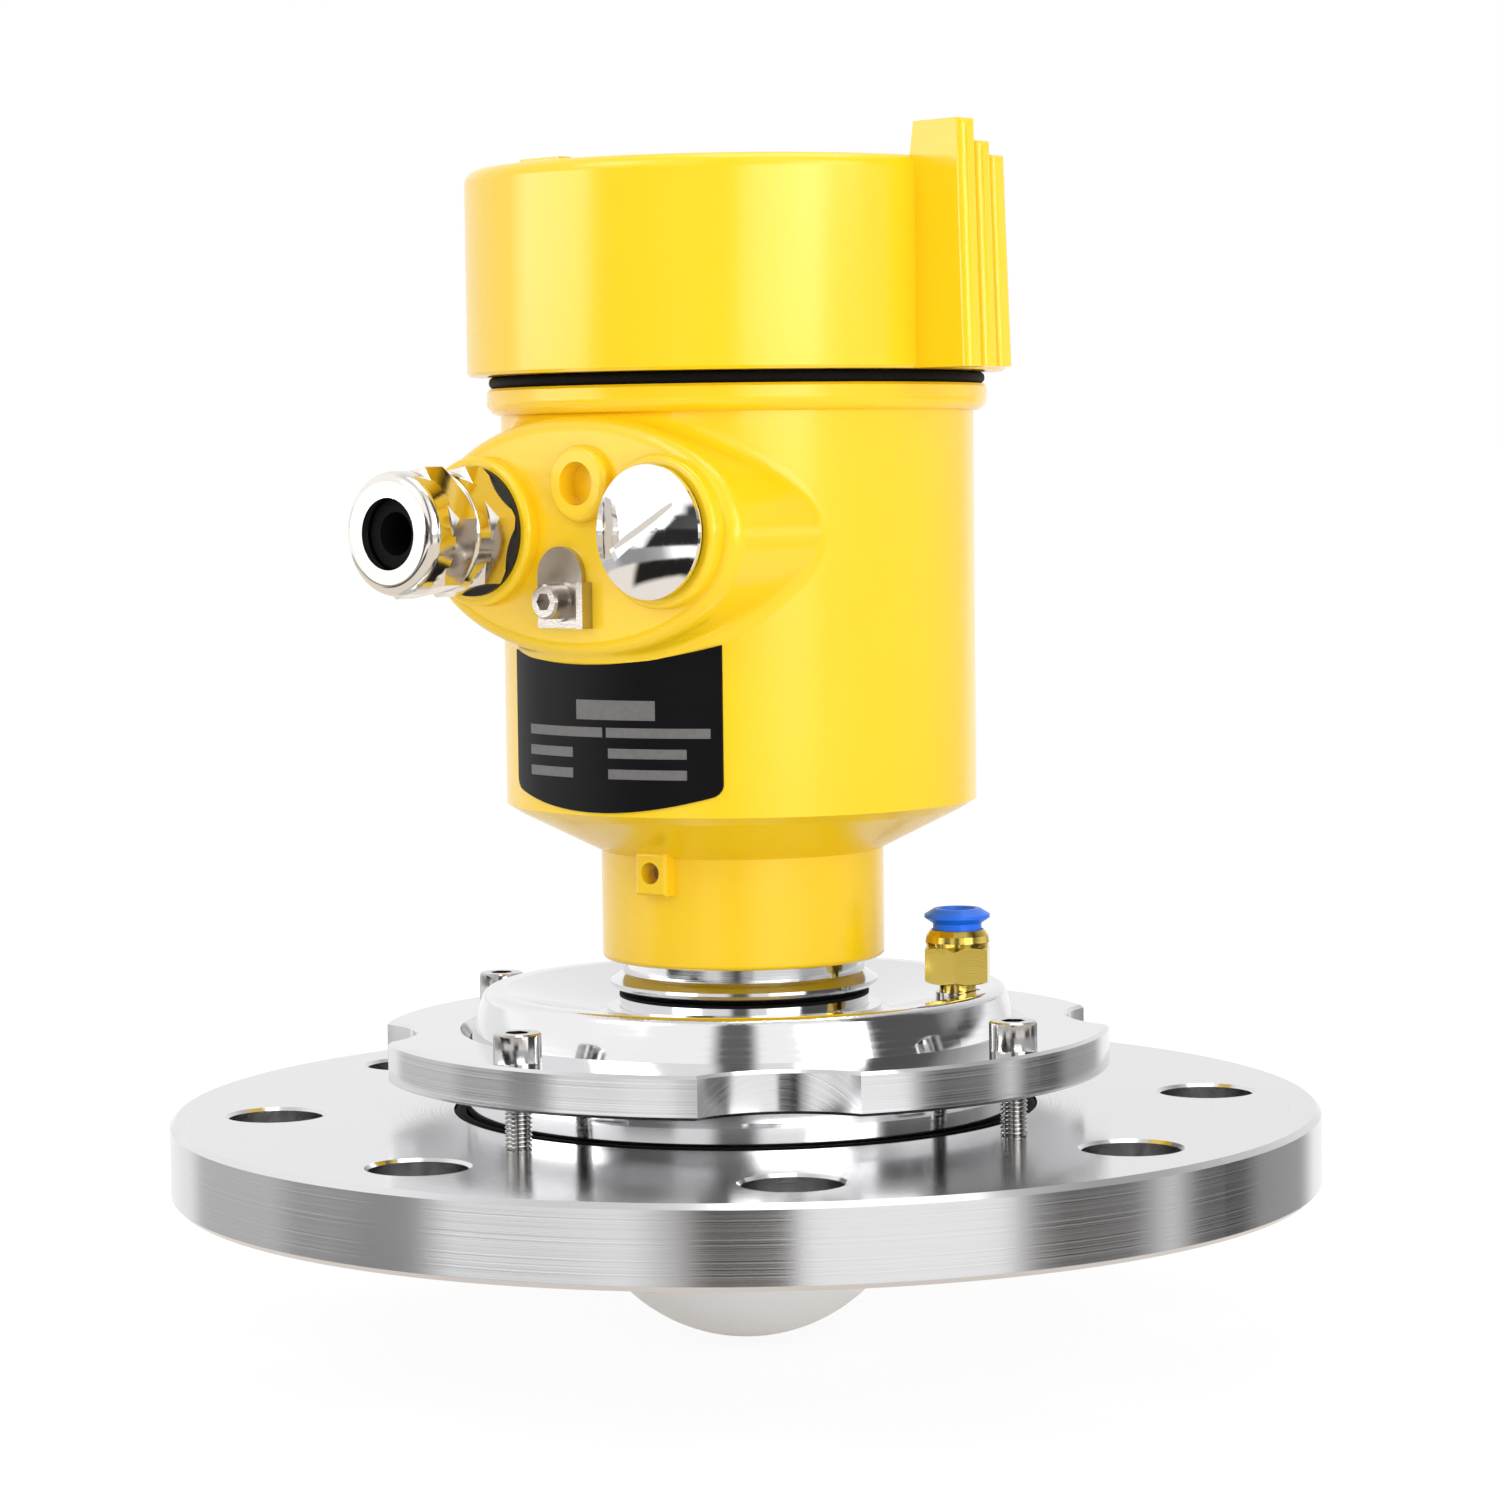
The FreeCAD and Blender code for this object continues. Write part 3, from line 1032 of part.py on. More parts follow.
def ground_screw():
    screw = socket_screw(GROUND_SCREW_DIAMETER, GROUND_SCREW_LENGTH, GROUND_SCREW_HEAD_DIAMETER,
                         GROUND_SCREW_HEAD_HEIGHT, GROUND_SCREW_KEY)
    seat = PAD_FACE + GROUND_PLATE_THICKNESS + GROUND_WASHER_THICKNESS
    return point_outward(screw, GROUND_OFFSET, GROUND_HEIGHT, seat)


def nameplate():
    """The curved black plate below the entry pad: its top edge follows the pad and its foot is bowed."""
    outer = HOUSING_RADIUS + PLATE_THICKNESS
    shell = sleeve(outer, HOUSING_RADIUS, PLATE_LOW - 1, PAD_HEIGHT)
    half_width = HOUSING_RADIUS * math.sin(math.radians(PLATE_HALF_ANGLE))
    side_low = PLATE_LOW + PLATE_ARC_RADIUS - math.sqrt(PLATE_ARC_RADIUS ** 2 - half_width ** 2)
    left = at(-half_width, 0, side_low)
    right = at(half_width, 0, side_low)
    bulge = Part.Arc(right, at(0, 0, PLATE_LOW), left).toShape()
    sides = Part.makePolygon([left, at(-half_width, 0, PAD_HEIGHT), at(half_width, 0, PAD_HEIGHT), right])
    window = Part.Face(Part.Wire([*sides.Edges, bulge])).extrude(at(0, -outer - 1, 0))
    corners = [edge for edge in window.Edges
               if edge.BoundBox.YLength > outer and edge.BoundBox.ZMax < side_low + 0.01]
    window = window.makeFillet(PLATE_CORNER, corners)
    window.rotate(at(0, 0, 0), Z_AXIS, PLATE_TURN)
    oval = oval_bar(PAD_HALF_WIDTH + PLATE_SIDE_MARGIN, PAD_HALF_HEIGHT + PLATE_TOP_MARGIN, outer + 2)
    plate = shell.common(window).cut(point_outward(oval, 0, PAD_HEIGHT, 0))
    return plate.cut(housing_body())


def outer_edges(shape, reach):
    """The edges of a lug's step that lie wholly beyond a distance from the axis."""
    found = []
    for edge in shape.Edges:
        if all(math.hypot(vertex.X, vertex.Y) > reach for vertex in edge.Vertexes):
            found.append(edge)
    return [edge for edge in found if edge.BoundBox.ZMax > LID_LOW + 0.01]


def lid():
    """The screw-on lid, a deep cap with a stepped lug on each side for turning it."""
    body = disc(LID_RADIUS, LID_LOW, LID_TOP)
    body = body.makeFillet(LID_EDGE_ROUND, ring_edges(body, [(LID_RADIUS, LID_TOP)]))
    body = body.makeChamfer(LID_RIM_CHAMFER, ring_edges(body, [(LID_RADIUS, LID_LOW)]))
    for index, rise in enumerate(LID_LUG_RISES):
        top = LID_TOP + rise
        profile = Part.makePolygon([
            at(LID_RADIUS - 2, 0, LID_LOW),
            at(LID_LUG_OUTER_LOW, 0, LID_LOW),
            at(LID_LUG_OUTER_TOP, 0, top),
            at(LID_RADIUS - 0.3, 0, top),
            at(LID_RADIUS - 2, 0, LID_TOP - 4),
            at(LID_RADIUS - 2, 0, LID_LOW),
        ])
        step = Part.Face(profile).revolve(at(0, 0, 0), Z_AXIS, LID_LUG_STEP_ANGLE)
        step = step.makeFillet(LID_LUG_ROUND, outer_edges(step, LID_LUG_OUTER_TOP - 0.1))
        body = body.fuse(around(step, 2, LID_LUG_START + LID_LUG_STEP_ANGLE * index))
    thread_top = LID_LOW + LID_THREAD_HEIGHT
    thread = SPIGOT_RADIUS + LID_THREAD_CLEARANCE
    cavity = turned([
        (0, LID_LOW - 1),
        (LID_BORE_RADIUS, LID_LOW - 1),
        (LID_BORE_RADIUS, LID_LOW + LID_THREAD_START),
        *thread_teeth(thread, thread + THREAD_DEPTH, LID_LOW + LID_THREAD_START, thread_top),
        (LID_BORE_RADIUS, thread_top + 1),
        (LID_BORE_RADIUS, LID_TOP - LID_TOP_THICKNESS),
        (0, LID_TOP - LID_TOP_THICKNESS),
    ])
    return body.cut(cavity).removeSplitter()


def on_purge_port(shape):
    """Moves a shape built about Z over to the purge port on the ball."""
    placed = shape.copy()
    turn = math.radians(PURGE_ANGLE)
    placed.rotate(at(0, 0, 0), Z_AXIS, PURGE_ANGLE)
    placed.translate(at(PURGE_CIRCLE_RADIUS * math.cos(turn), PURGE_CIRCLE_RADIUS * math.sin(turn), 0))
    return placed


def purge_nipple():
    floor = dish_floor_height() - PURGE_NIPPLE_DEPTH
    tube = sleeve(PURGE_NIPPLE_RADIUS, PURGE_AIR_BORE_RADIUS, floor, PURGE_NIPPLE_TOP)
    return on_purge_port(tube)


def purge_fitting_body():
    """The brass push-in fitting: a hexagon, a round shoulder and a bore for the air tube."""
    hex_part = hex_nut_form(PURGE_KEY, PURGE_HEX_LOW, PURGE_HEX_TOP, PURGE_HEX_BEVEL)
    hex_part.rotate(at(0, 0, 0), Z_AXIS, PURGE_HEX_TURN)
    neck = disc(PURGE_NECK_RADIUS, PURGE_NIPPLE_TOP, PURGE_HEX_LOW)
    shoulder = turned([
        (0, PURGE_HEX_TOP),
        (PURGE_SHOULDER_RADIUS - 0.3, PURGE_HEX_TOP),
        (PURGE_SHOULDER_RADIUS, PURGE_HEX_TOP + 0.8),
        (PURGE_SHOULDER_RADIUS - 0.2, PURGE_HEX_TOP + 2.0),
        (PURGE_SHOULDER_RADIUS - 1.0, PURGE_BODY_TOP),
        (0, PURGE_BODY_TOP),
    ])
    body = hex_part.fuse([neck, shoulder]).removeSplitter()
    stop = PURGE_BODY_TOP - PURGE_TUBE_DEPTH
    body = body.cut(disc(PURGE_MOUTH_RADIUS, PURGE_BODY_TOP - PURGE_MOUTH_DEPTH, PURGE_BODY_TOP))
    body = body.cut(disc(PURGE_TUBE_RADIUS + PURGE_TUBE_CLEARANCE, stop, PURGE_BODY_TOP))
    return on_purge_port(body.cut(disc(PURGE_AIR_BORE_RADIUS, PURGE_NIPPLE_TOP, PURGE_BODY_TOP)))


def purge_tube_seal():
    section = PURGE_MOUTH_RADIUS - PURGE_TUBE_RADIUS - 0.3
    radius = (PURGE_MOUTH_RADIUS + PURGE_TUBE_RADIUS) / 2 + 0.1
    return on_purge_port(rubber_ring(radius, section, PURGE_BODY_TOP - PURGE_MOUTH_DEPTH + section / 2))


def purge_release_collar():
    """The blue collar that frees the air tube when it is pressed down."""
    high = PURGE_BODY_TOP + COLLAR_STAND
    low = PURGE_BODY_TOP - COLLAR_DEPTH
    bore = PURGE_TUBE_RADIUS + PURGE_TUBE_CLEARANCE
    middle = high - COLLAR_FLANGE_HEIGHT / 2
    collar = turned([
        (bore, low),
        (COLLAR_NECK_RADIUS, low),
        (COLLAR_NECK_RADIUS, high - COLLAR_FLANGE_HEIGHT),
        (COLLAR_FLANGE_RADIUS, middle - 0.3),
        (COLLAR_FLANGE_RADIUS, middle + 0.3),
        (COLLAR_TOP_RADIUS, high),
        (bore + 0.6, high),
        (bore, high - 0.6),
    ])
    return on_purge_port(collar)


def all_nodes():
    nodes = {
        "process_flange": process_flange(),
        "clamp_ring": clamp_ring(),
        "clamp_screws": clamp_screws(),
        "seat_o_ring": seat_o_ring(),
        "aiming_ball": aiming_ball(),
        "antenna_lens": antenna_lens(),
        "lens_o_ring": lens_o_ring(),
        "lens_retaining_ring": lens_retaining_ring(),
        "feed_horn": feed_horn(),
        "stem": stem(),
        "stem_o_ring": stem_o_ring(),
        "radar_module": radar_module(),
        "purge_nipple": purge_nipple(),
        "purge_fitting_body": purge_fitting_body(),
        "purge_tube_seal": purge_tube_seal(),
        "purge_release_collar": purge_release_collar(),
        "housing_body": housing_body(),
        "neck_bush": neck_bush(),
        "neck_o_ring": neck_o_ring(),
        "neck_set_screw": neck_set_screw(),
        "lid_o_ring": lid_o_ring(),
        "electronics_cup": electronics_cup(),
        "display_carrier": display_carrier(),
        "main_circuit_board": main_circuit_board(),
        "terminal_block": terminal_block(),
        "terminal_screws": terminal_screws(),
        "display_module": display_module(),
        "display_glass": display_glass(),
        "gland_gasket": gland_gasket(),
        "gland_body": gland_body(),
        "gland_seal": gland_seal(),
        "gland_cap_nut": gland_cap_nut(),
        "plug_gasket": plug_gasket(),
        "blanking_plug": blanking_plug(),
        "ground_clamp": ground_clamp(),
        "ground_washer": ground_washer(),
        "ground_screw": ground_screw(),
        "nameplate": nameplate(),
        "lid": lid(),
    }
    for number, x in enumerate(key_places(), start=1):
        nodes["display_key_" + str(number)] = display_key(x)
    return nodes


os.makedirs("parts", exist_ok=True)
for name, shape in all_nodes().items():
    print(name, "solids", len(shape.Solids), "volume", round(shape.Volume, 1), "valid", shape.isValid())
    shape.exportStep("parts/" + name + ".step")
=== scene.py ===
import bpy
import math
from mathutils import Matrix, Vector


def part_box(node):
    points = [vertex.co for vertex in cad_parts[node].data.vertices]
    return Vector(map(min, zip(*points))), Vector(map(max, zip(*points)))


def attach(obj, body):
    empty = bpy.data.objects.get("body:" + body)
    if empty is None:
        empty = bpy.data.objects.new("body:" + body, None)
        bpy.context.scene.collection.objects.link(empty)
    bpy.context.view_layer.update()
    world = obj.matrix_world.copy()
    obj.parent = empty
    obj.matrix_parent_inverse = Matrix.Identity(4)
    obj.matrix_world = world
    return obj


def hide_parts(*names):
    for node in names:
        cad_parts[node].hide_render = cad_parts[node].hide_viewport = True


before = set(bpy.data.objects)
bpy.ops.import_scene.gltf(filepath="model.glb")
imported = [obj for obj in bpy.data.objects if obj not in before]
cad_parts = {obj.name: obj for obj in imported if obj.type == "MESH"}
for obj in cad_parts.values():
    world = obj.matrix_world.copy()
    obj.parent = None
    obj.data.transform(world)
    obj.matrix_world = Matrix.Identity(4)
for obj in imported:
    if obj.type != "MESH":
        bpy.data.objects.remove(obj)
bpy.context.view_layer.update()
bpy.ops.object.select_all(action="DESELECT")

# Camera.
# A long lens a little above the flange, level with the cable entries, turned 40 degrees from them.

CAMERA_AZIMUTH = math.radians(40)
CAMERA_DISTANCE = 0.799
CAMERA_HEIGHT = 0.139
CAMERA_LENS = 100.3
CAMERA_PITCH = math.radians(-4.0)
CAMERA_YAW = math.radians(-0.12)
CAMERA_ROLL = math.radians(-0.7)

camera_data = bpy.data.cameras.new("camera")
camera_data.lens = CAMERA_LENS
camera_data.sensor_width = 36
camera_data.clip_start = 0.01
camera = bpy.data.objects.new("camera", camera_data)
bpy.context.scene.collection.objects.link(camera)
stand = Vector((
    CAMERA_DISTANCE * math.sin(CAMERA_AZIMUTH),
    -CAMERA_DISTANCE * math.cos(CAMERA_AZIMUTH),
    CAMERA_HEIGHT,
))
turn = Matrix.Rotation(CAMERA_AZIMUTH + CAMERA_YAW, 4, "Z")
tilt = Matrix.Rotation(math.radians(90) + CAMERA_PITCH, 4, "X")
roll = Matrix.Rotation(CAMERA_ROLL, 4, "Z")
camera.matrix_world = Matrix.Translation(stand) @ turn @ tilt @ roll
bpy.context.scene.camera = camera
bpy.context.scene.view_settings.view_transform = "Standard"

# Room.
# A white photo studio: a pale floor just under the lens, white walls with dark screens and two lit
# panels that draw the lines in the bright metal and the paint, a pale ceiling, and four soft lamps.

FLOOR_HEIGHT = -0.0305
FLOOR_SIZE = 30.0
FLOOR_GLOW = 1.06
FLOOR_GLOW_SHARE = 0.86
# Each lamp's place, size and power; all of them point at the barrel's foot.
LAMPS = {
    "key": ((-0.5, -1.5, 1.3), 0.9, 6.5),
    "fill": ((1.6, -0.3, 0.7), 0.9, 5),
    "top": ((0.1, 0.2, 1.7), 1.0, 6),
    "low": ((1.3, -0.6, 0.04), 0.5, 6.5),
}

PLAIN_LIGHT = 0.8
STUDIO_LIGHT = 1.25
WALLS_LEAN = -1.2
LAMPS_AIM_AT = Vector((0, 0, 0.08))

world = bpy.data.worlds.new("studio")
bpy.context.scene.world = world
world.use_nodes = True
tree = world.node_tree
tree.nodes.clear()
output = tree.nodes.new("ShaderNodeOutputWorld")
seen = tree.nodes.new("ShaderNodeBackground")
studio = tree.nodes.new("ShaderNodeBackground")
plain = tree.nodes.new("ShaderNodeBackground")
seen.inputs["Color"].default_value = (1, 1, 1, 1)
plain.inputs["Color"].default_value = (1, 1, 1, 1)
plain.inputs["Strength"].default_value = PLAIN_LIGHT
studio.inputs["Strength"].default_value = STUDIO_LIGHT
mirrored = tree.nodes.new("ShaderNodeMixShader")
mix = tree.nodes.new("ShaderNodeMixShader")
light_path = tree.nodes.new("ShaderNodeLightPath")
tree.links.new(light_path.outputs["Is Glossy Ray"], mirrored.inputs["Fac"])
tree.links.new(plain.outputs["Background"], mirrored.inputs[1])
tree.links.new(studio.outputs["Background"], mirrored.inputs[2])
tree.links.new(light_path.outputs["Is Camera Ray"], mix.inputs["Fac"])
tree.links.new(mirrored.outputs["Shader"], mix.inputs[1])
tree.links.new(seen.outputs["Background"], mix.inputs[2])
tree.links.new(mix.outputs["Shader"], output.inputs["Surface"])
direction = tree.nodes.new("ShaderNodeTexCoord")
facing = tree.nodes.new("ShaderNodeMapping")
facing.inputs["Rotation"].default_value = (0, 0, math.radians(90) - CAMERA_AZIMUTH)
split = tree.nodes.new("ShaderNodeSeparateXYZ")
angle = tree.nodes.new("ShaderNodeMath")
angle.operation = "ARCTAN2"
tree.links.new(direction.outputs["Generated"], facing.inputs["Vector"])
tree.links.new(facing.outputs["Vector"], split.inputs["Vector"])
tree.links.new(split.outputs["Y"], angle.inputs[0])
tree.links.new(split.outputs["X"], angle.inputs[1])
leaning = tree.nodes.new("ShaderNodeMath")
leaning.operation = "MULTIPLY_ADD"
leaning.inputs[1].default_value = WALLS_LEAN
tree.links.new(split.outputs["Z"], leaning.inputs[0])
tree.links.new(angle.outputs["Value"], leaning.inputs[2])

# Angles are seen from the object: 0 is towards the camera, positive to the camera's right.
# The ball's rim mirrors the sky and the high walls; the lid the top ones, with the two lit panels;
# the barrel and the gland the middle ones, and the flange the lower ones. Low screens stand on the
# ground for the plug, which mirrors all of them.
SKY_WALLS = [
    (-180, 0.8), (-130, 0.95), (-16, 0.95), (-10, 0.12), (2, 0.12), (7, 0.95), (52, 0.95), (59, 0.08),
    (92, 0.1), (102, 0.3), (122, 0.5), (150, 0.8),
]
HIGH_WALLS = [
    (-180, 0.8), (-130, 1.0), (-54, 1.0), (-49, 0.04), (-31, 0.04), (-27, 1.0), (-16, 1.0), (-10, 0.3),
    (2, 0.3), (7, 1.0), (52, 1.0), (59, 0.1), (112, 0.08), (122, 0.4), (142, 0.5), (152, 0.8),
]
TOP_WALLS = [
    (-180, 0.8), (-140, 0.8), (-112, 0.85), (-103, 4.2), (-70, 4.2), (-64, 0.05), (-40, 0.1),
    (-5, 0.2), (3, 4.2), (30, 4.2), (38, 0.3), (64, 1.1), (110, 1.0), (142, 0.7), (152, 0.8),
]
MIDDLE_WALLS = [
    (-180, 0.85), (-142, 0.85), (-130, 1.0), (-72, 1.0), (-68, 0.02), (-34, 0.02), (-27, 0.5), (-17, 0.5),
    (-11, 0.1), (3, 0.1), (8, 0.5), (50, 0.6), (60, 0.5), (110, 0.5), (120, 0.4), (142, 0.5), (152, 0.85),
]
LOWER_WALLS = [
    (-180, 0.85), (-142, 0.8), (-135, 0.46), (-105, 0.46), (-97, 0.26), (-80, 0.26), (-67, 0.36), (-59, 1.0),
    (-22, 0.95), (-13, 0.5), (-8, 0.03), (7, 0.03), (11, 1.0), (50, 1.0), (57, 0.2), (63, 0.04), (80, 0.12),
    (90, 0.7), (98, 0.1), (112, 0.05), (120, 0.28), (142, 0.33), (152, 0.85),
]
LOW_SCREENS = [(-180, 1.0), (-72, 1.0), (-67, 0.02), (-14, 0.02), (-8, 1.0)]
GROUND = [(-180, 1.0), (0, 1.0)]
CEILING = [(-180, 0.7), (0, 0.7)]
WHITE = (1, 1, 1)
GROUND_COLOUR = (0.74, 0.68, 0.62)
# From the ground up: each with its tint, and the two elevations between which it takes over.
BANDS = [
    (leaning, LOW_SCREENS, GROUND_COLOUR, -23, -21),
    (angle, LOWER_WALLS, WHITE, -14, -13),
    (leaning, MIDDLE_WALLS, WHITE, -8, -7),
    (leaning, TOP_WALLS, WHITE, 0, 1.5),
    (angle, HIGH_WALLS, WHITE, 7, 9),
    (angle, SKY_WALLS, WHITE, 11.5, 14),
    (angle, CEILING, WHITE, 50, 65),
]


def walls(azimuth, stops, colour):
    """Walls all round the object, from stops that are each an angle and a level."""
    share = tree.nodes.new("ShaderNodeMapRange")
    share.inputs["From Min"].default_value = -math.pi
    share.inputs["From Max"].default_value = math.pi
    tree.links.new(azimuth.outputs["Value"], share.inputs["Value"])
    ramp = tree.nodes.new("ShaderNodeValToRGB")
    while len(ramp.color_ramp.elements) < len(stops):
        ramp.color_ramp.elements.new(0.5)
    for element, (degrees, level) in zip(ramp.color_ramp.elements, stops):
        element.position = (degrees + 180) / 360
        element.color = (*[level * part for part in colour], 1)
    tree.links.new(share.outputs["Result"], ramp.inputs["Fac"])
    return ramp.outputs["Color"]


def above(lower, upper, low, high):
    """In the world, goes from one colour to the next between two elevations, in degrees."""
    rise = tree.nodes.new("ShaderNodeMapRange")
    rise.inputs["From Min"].default_value = math.sin(math.radians(low))
    rise.inputs["From Max"].default_value = math.sin(math.radians(high))
    tree.links.new(split.outputs["Z"], rise.inputs["Value"])
    blend = tree.nodes.new("ShaderNodeMix")
    blend.data_type = "RGBA"
    tree.links.new(rise.outputs["Result"], blend.inputs["Factor"])
    tree.links.new(lower, blend.inputs["A"])
    tree.links.new(upper, blend.inputs["B"])
    return blend.outputs["Result"]


shown = walls(angle, GROUND, GROUND_COLOUR)
for azimuth, stops, colour, low, high in BANDS:
    shown = above(shown, walls(azimuth, stops, colour), low, high)
tree.links.new(shown, studio.inputs["Color"])

for lamp_name, (place, size, power) in LAMPS.items():
    lamp_data = bpy.data.lights.new(lamp_name, "AREA")
    lamp_data.energy = power
    lamp_data.size = size
    lamp = bpy.data.objects.new(lamp_name, lamp_data)
    bpy.context.scene.collection.objects.link(lamp)
    lamp.location = place
    aim = LAMPS_AIM_AT - lamp.location
    lamp.rotation_euler = aim.to_track_quat("-Z", "Y").to_euler()
    lamp.visible_glossy = lamp_name != "low"

bpy.ops.mesh.primitive_plane_add(size=FLOOR_SIZE, location=(0, 0, FLOOR_HEIGHT))
floor = bpy.context.object
floor.name = "floor"
floor_paper = bpy.data.materials.new("floor_paper")
floor_paper.use_nodes = True
tree = floor_paper.node_tree
tree.nodes.clear()
output = tree.nodes.new("ShaderNodeOutputMaterial")
paper = tree.nodes.new("ShaderNodeBsdfDiffuse")
paper.inputs["Color"].default_value = (0.9, 0.9, 0.9, 1)
glow = tree.nodes.new("ShaderNodeEmission")
glow.inputs["Strength"].default_value = FLOOR_GLOW
mix = tree.nodes.new("ShaderNodeMixShader")
light_path = tree.nodes.new("ShaderNodeLightPath")
weight = tree.nodes.new("ShaderNodeMath")
weight.operation = "MULTIPLY"
weight.inputs[1].default_value = FLOOR_GLOW_SHARE
clear = tree.nodes.new("ShaderNodeBsdfTransparent")
unseen = tree.nodes.new("ShaderNodeMixShader")
tree.links.new(light_path.outputs["Is Camera Ray"], weight.inputs[0])
tree.links.new(weight.outputs["Value"], mix.inputs["Fac"])
tree.links.new(paper.outputs["BSDF"], mix.inputs[1])
tree.links.new(glow.outputs["Emission"], mix.inputs[2])
tree.links.new(light_path.outputs["Is Glossy Ray"], unseen.inputs["Fac"])
tree.links.new(mix.outputs["Shader"], unseen.inputs[1])
tree.links.new(clear.outputs["BSDF"], unseen.inputs[2])
tree.links.new(unseen.outputs["Shader"], output.inputs["Surface"])
floor.data.materials.append(floor_paper)

# Process flange.
# The round stainless plate that bolts to the vessel, turned on a lathe, which leaves fine rings in its
# bright faces and rim.

RINGS_LOW = 0.3
RINGS_HIGH = 0.7
RINGS_DISTANCE = 0.0001


def start_material(name, colour, metallic, roughness):
    """A new material with its shader; the shader's plain values are set here."""
    material = bpy.data.materials.new(name)
    material.use_nodes = True
    shader = material.node_tree.nodes["Principled BSDF"]
    shader.inputs["Base Color"].default_value = (*colour, 1)
    shader.inputs["Metallic"].default_value = metallic
    shader.inputs["Roughness"].default_value = roughness
    return material, shader


def join(material, source, output_name, target, input_name):
    material.node_tree.links.new(source.outputs[output_name], target.inputs[input_name])


def place_on_axis(material, centre, tilted):
    """Coordinates about a piece's own axis: Z runs along it, and X and Y across it."""
    nodes = material.node_tree.nodes
    coordinates = nodes.new("ShaderNodeTexCoord")
    mapping = nodes.new("ShaderNodeMapping")
    mapping.vector_type = "TEXTURE"
    mapping.inputs["Location"].default_value = centre
    mapping.inputs["Rotation"].default_value = (math.radians(90) if tilted else 0, 0, 0)
    join(material, coordinates, "Object", mapping, "Vector")
    return mapping


def lathe_marks(material, shader, centre=(0, 0, 0), tilted=False, pitch=0.0004, depth=0.08,
                rough_low=0.2, rough_high=0.35):
    """Fine rings round an axis, as a lathe leaves them, in the bump and the roughness."""
    nodes = material.node_tree.nodes
    mapping = place_on_axis(material, centre, tilted)
    parts = nodes.new("ShaderNodeSeparateXYZ")
    join(material, mapping, "Vector", parts, "Vector")
    flat = nodes.new("ShaderNodeCombineXYZ")
    join(material, parts, "X", flat, "X")
    join(material, parts, "Y", flat, "Y")
    radius = nodes.new("ShaderNodeVectorMath")
    radius.operation = "LENGTH"
    join(material, flat, "Vector", radius, "Vector")
    along = nodes.new("ShaderNodeMath")
    along.operation = "ADD"
    join(material, radius, "Value", along, 0)
    join(material, parts, "Z", along, 1)
    rings = nodes.new("ShaderNodeTexNoise")
    rings.noise_dimensions = "1D"
    rings.inputs["Scale"].default_value = 1 / pitch
    rings.inputs["Detail"].default_value = 3
    join(material, along, "Value", rings, "W")
    rough = nodes.new("ShaderNodeMapRange")
    rough.inputs["From Min"].default_value = RINGS_LOW
    rough.inputs["From Max"].default_value = RINGS_HIGH
    rough.inputs["To Min"].default_value = rough_low
    rough.inputs["To Max"].default_value = rough_high
    join(material, rings, "Fac", rough, "Value")
    join(material, rough, "Result", shader, "Roughness")
    bump = nodes.new("ShaderNodeBump")
    bump.inputs["Strength"].default_value = depth
    bump.inputs["Distance"].default_value = RINGS_DISTANCE
    join(material, rings, "Fac", bump, "Height")
    join(material, bump, "Normal", shader, "Normal")


def tint_by_noise(material, shader, dark, light, scale):
    """Slow, slight changes of colour over a surface."""
    nodes = material.node_tree.nodes
    coordinates = nodes.new("ShaderNodeTexCoord")
    clouds = nodes.new("ShaderNodeTexNoise")
    clouds.inputs["Scale"].default_value = scale
    clouds.inputs["Detail"].default_value = 4
    join(material, coordinates, "Object", clouds, "Vector")
    tint = nodes.new("ShaderNodeMix")
    tint.data_type = "RGBA"
    tint.inputs["A"].default_value = (*dark, 1)
    tint.inputs["B"].default_value = (*light, 1)
    join(material, clouds, "Fac", tint, "Factor")
    join(material, tint, "Result", shader, "Base Color")


def dress(material, *nodes):
    for node in nodes:
        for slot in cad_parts[node].material_slots:
            slot.material = material


flange_steel, shader = start_material("flange_steel", (0.66, 0.66, 0.67), 1, 0.25)
lathe_marks(flange_steel, shader, pitch=0.0003, depth=0.03, rough_low=0.11, rough_high=0.2)
tint_by_noise(flange_steel, shader, (0.64, 0.64, 0.65), (0.68, 0.68, 0.69), 30)
dress(flange_steel, "process_flange")

# Aiming ball with its seat ring.
# The stainless ball that the transmitter is aimed with: polished where it slides in the seat, fine
# turned in the dish on top. A black rubber ring seals it to the flange.

ball_steel, shader = start_material("ball_steel", (0.72, 0.72, 0.73), 1, 0.2)
lathe_marks(ball_steel, shader, pitch=0.0005, depth=0.02, rough_low=0.06, rough_high=0.12)
tint_by_noise(ball_steel, shader, (0.70, 0.70, 0.71), (0.75, 0.75, 0.76), 40)
dress(ball_steel, "aiming_ball")

seal_rubber, shader = start_material("seal_rubber", (0.004, 0.004, 0.004), 0, 0.65)
shader.inputs["Specular IOR Level"].default_value = 0.1


def fine_grain(material, shader, scale, strength, distance):
    """A fine even roughness, as on moulded rubber and plastic."""
    nodes = material.node_tree.nodes
    coordinates = nodes.new("ShaderNodeTexCoord")
    grain = nodes.new("ShaderNodeTexNoise")
    grain.inputs["Scale"].default_value = scale
    grain.inputs["Detail"].default_value = 2
    join(material, coordinates, "Object", grain, "Vector")
    bump = nodes.new("ShaderNodeBump")
    bump.inputs["Strength"].default_value = strength
    bump.inputs["Distance"].default_value = distance
    join(material, grain, "Fac", bump, "Height")
    join(material, bump, "Normal", shader, "Normal")


fine_grain(seal_rubber, shader, 1500, 0.3, 0.0002)
tint_by_noise(seal_rubber, shader, (0.003, 0.003, 0.003), (0.006, 0.006, 0.006), 200)
dress(seal_rubber, "seat_o_ring", "lens_o_ring", "stem_o_ring", "neck_o_ring", "lid_o_ring",
      "purge_tube_seal", "gland_seal")

# Clamp ring.
# The stainless ring that presses the ball into its seat, turned and then milled with four notches.

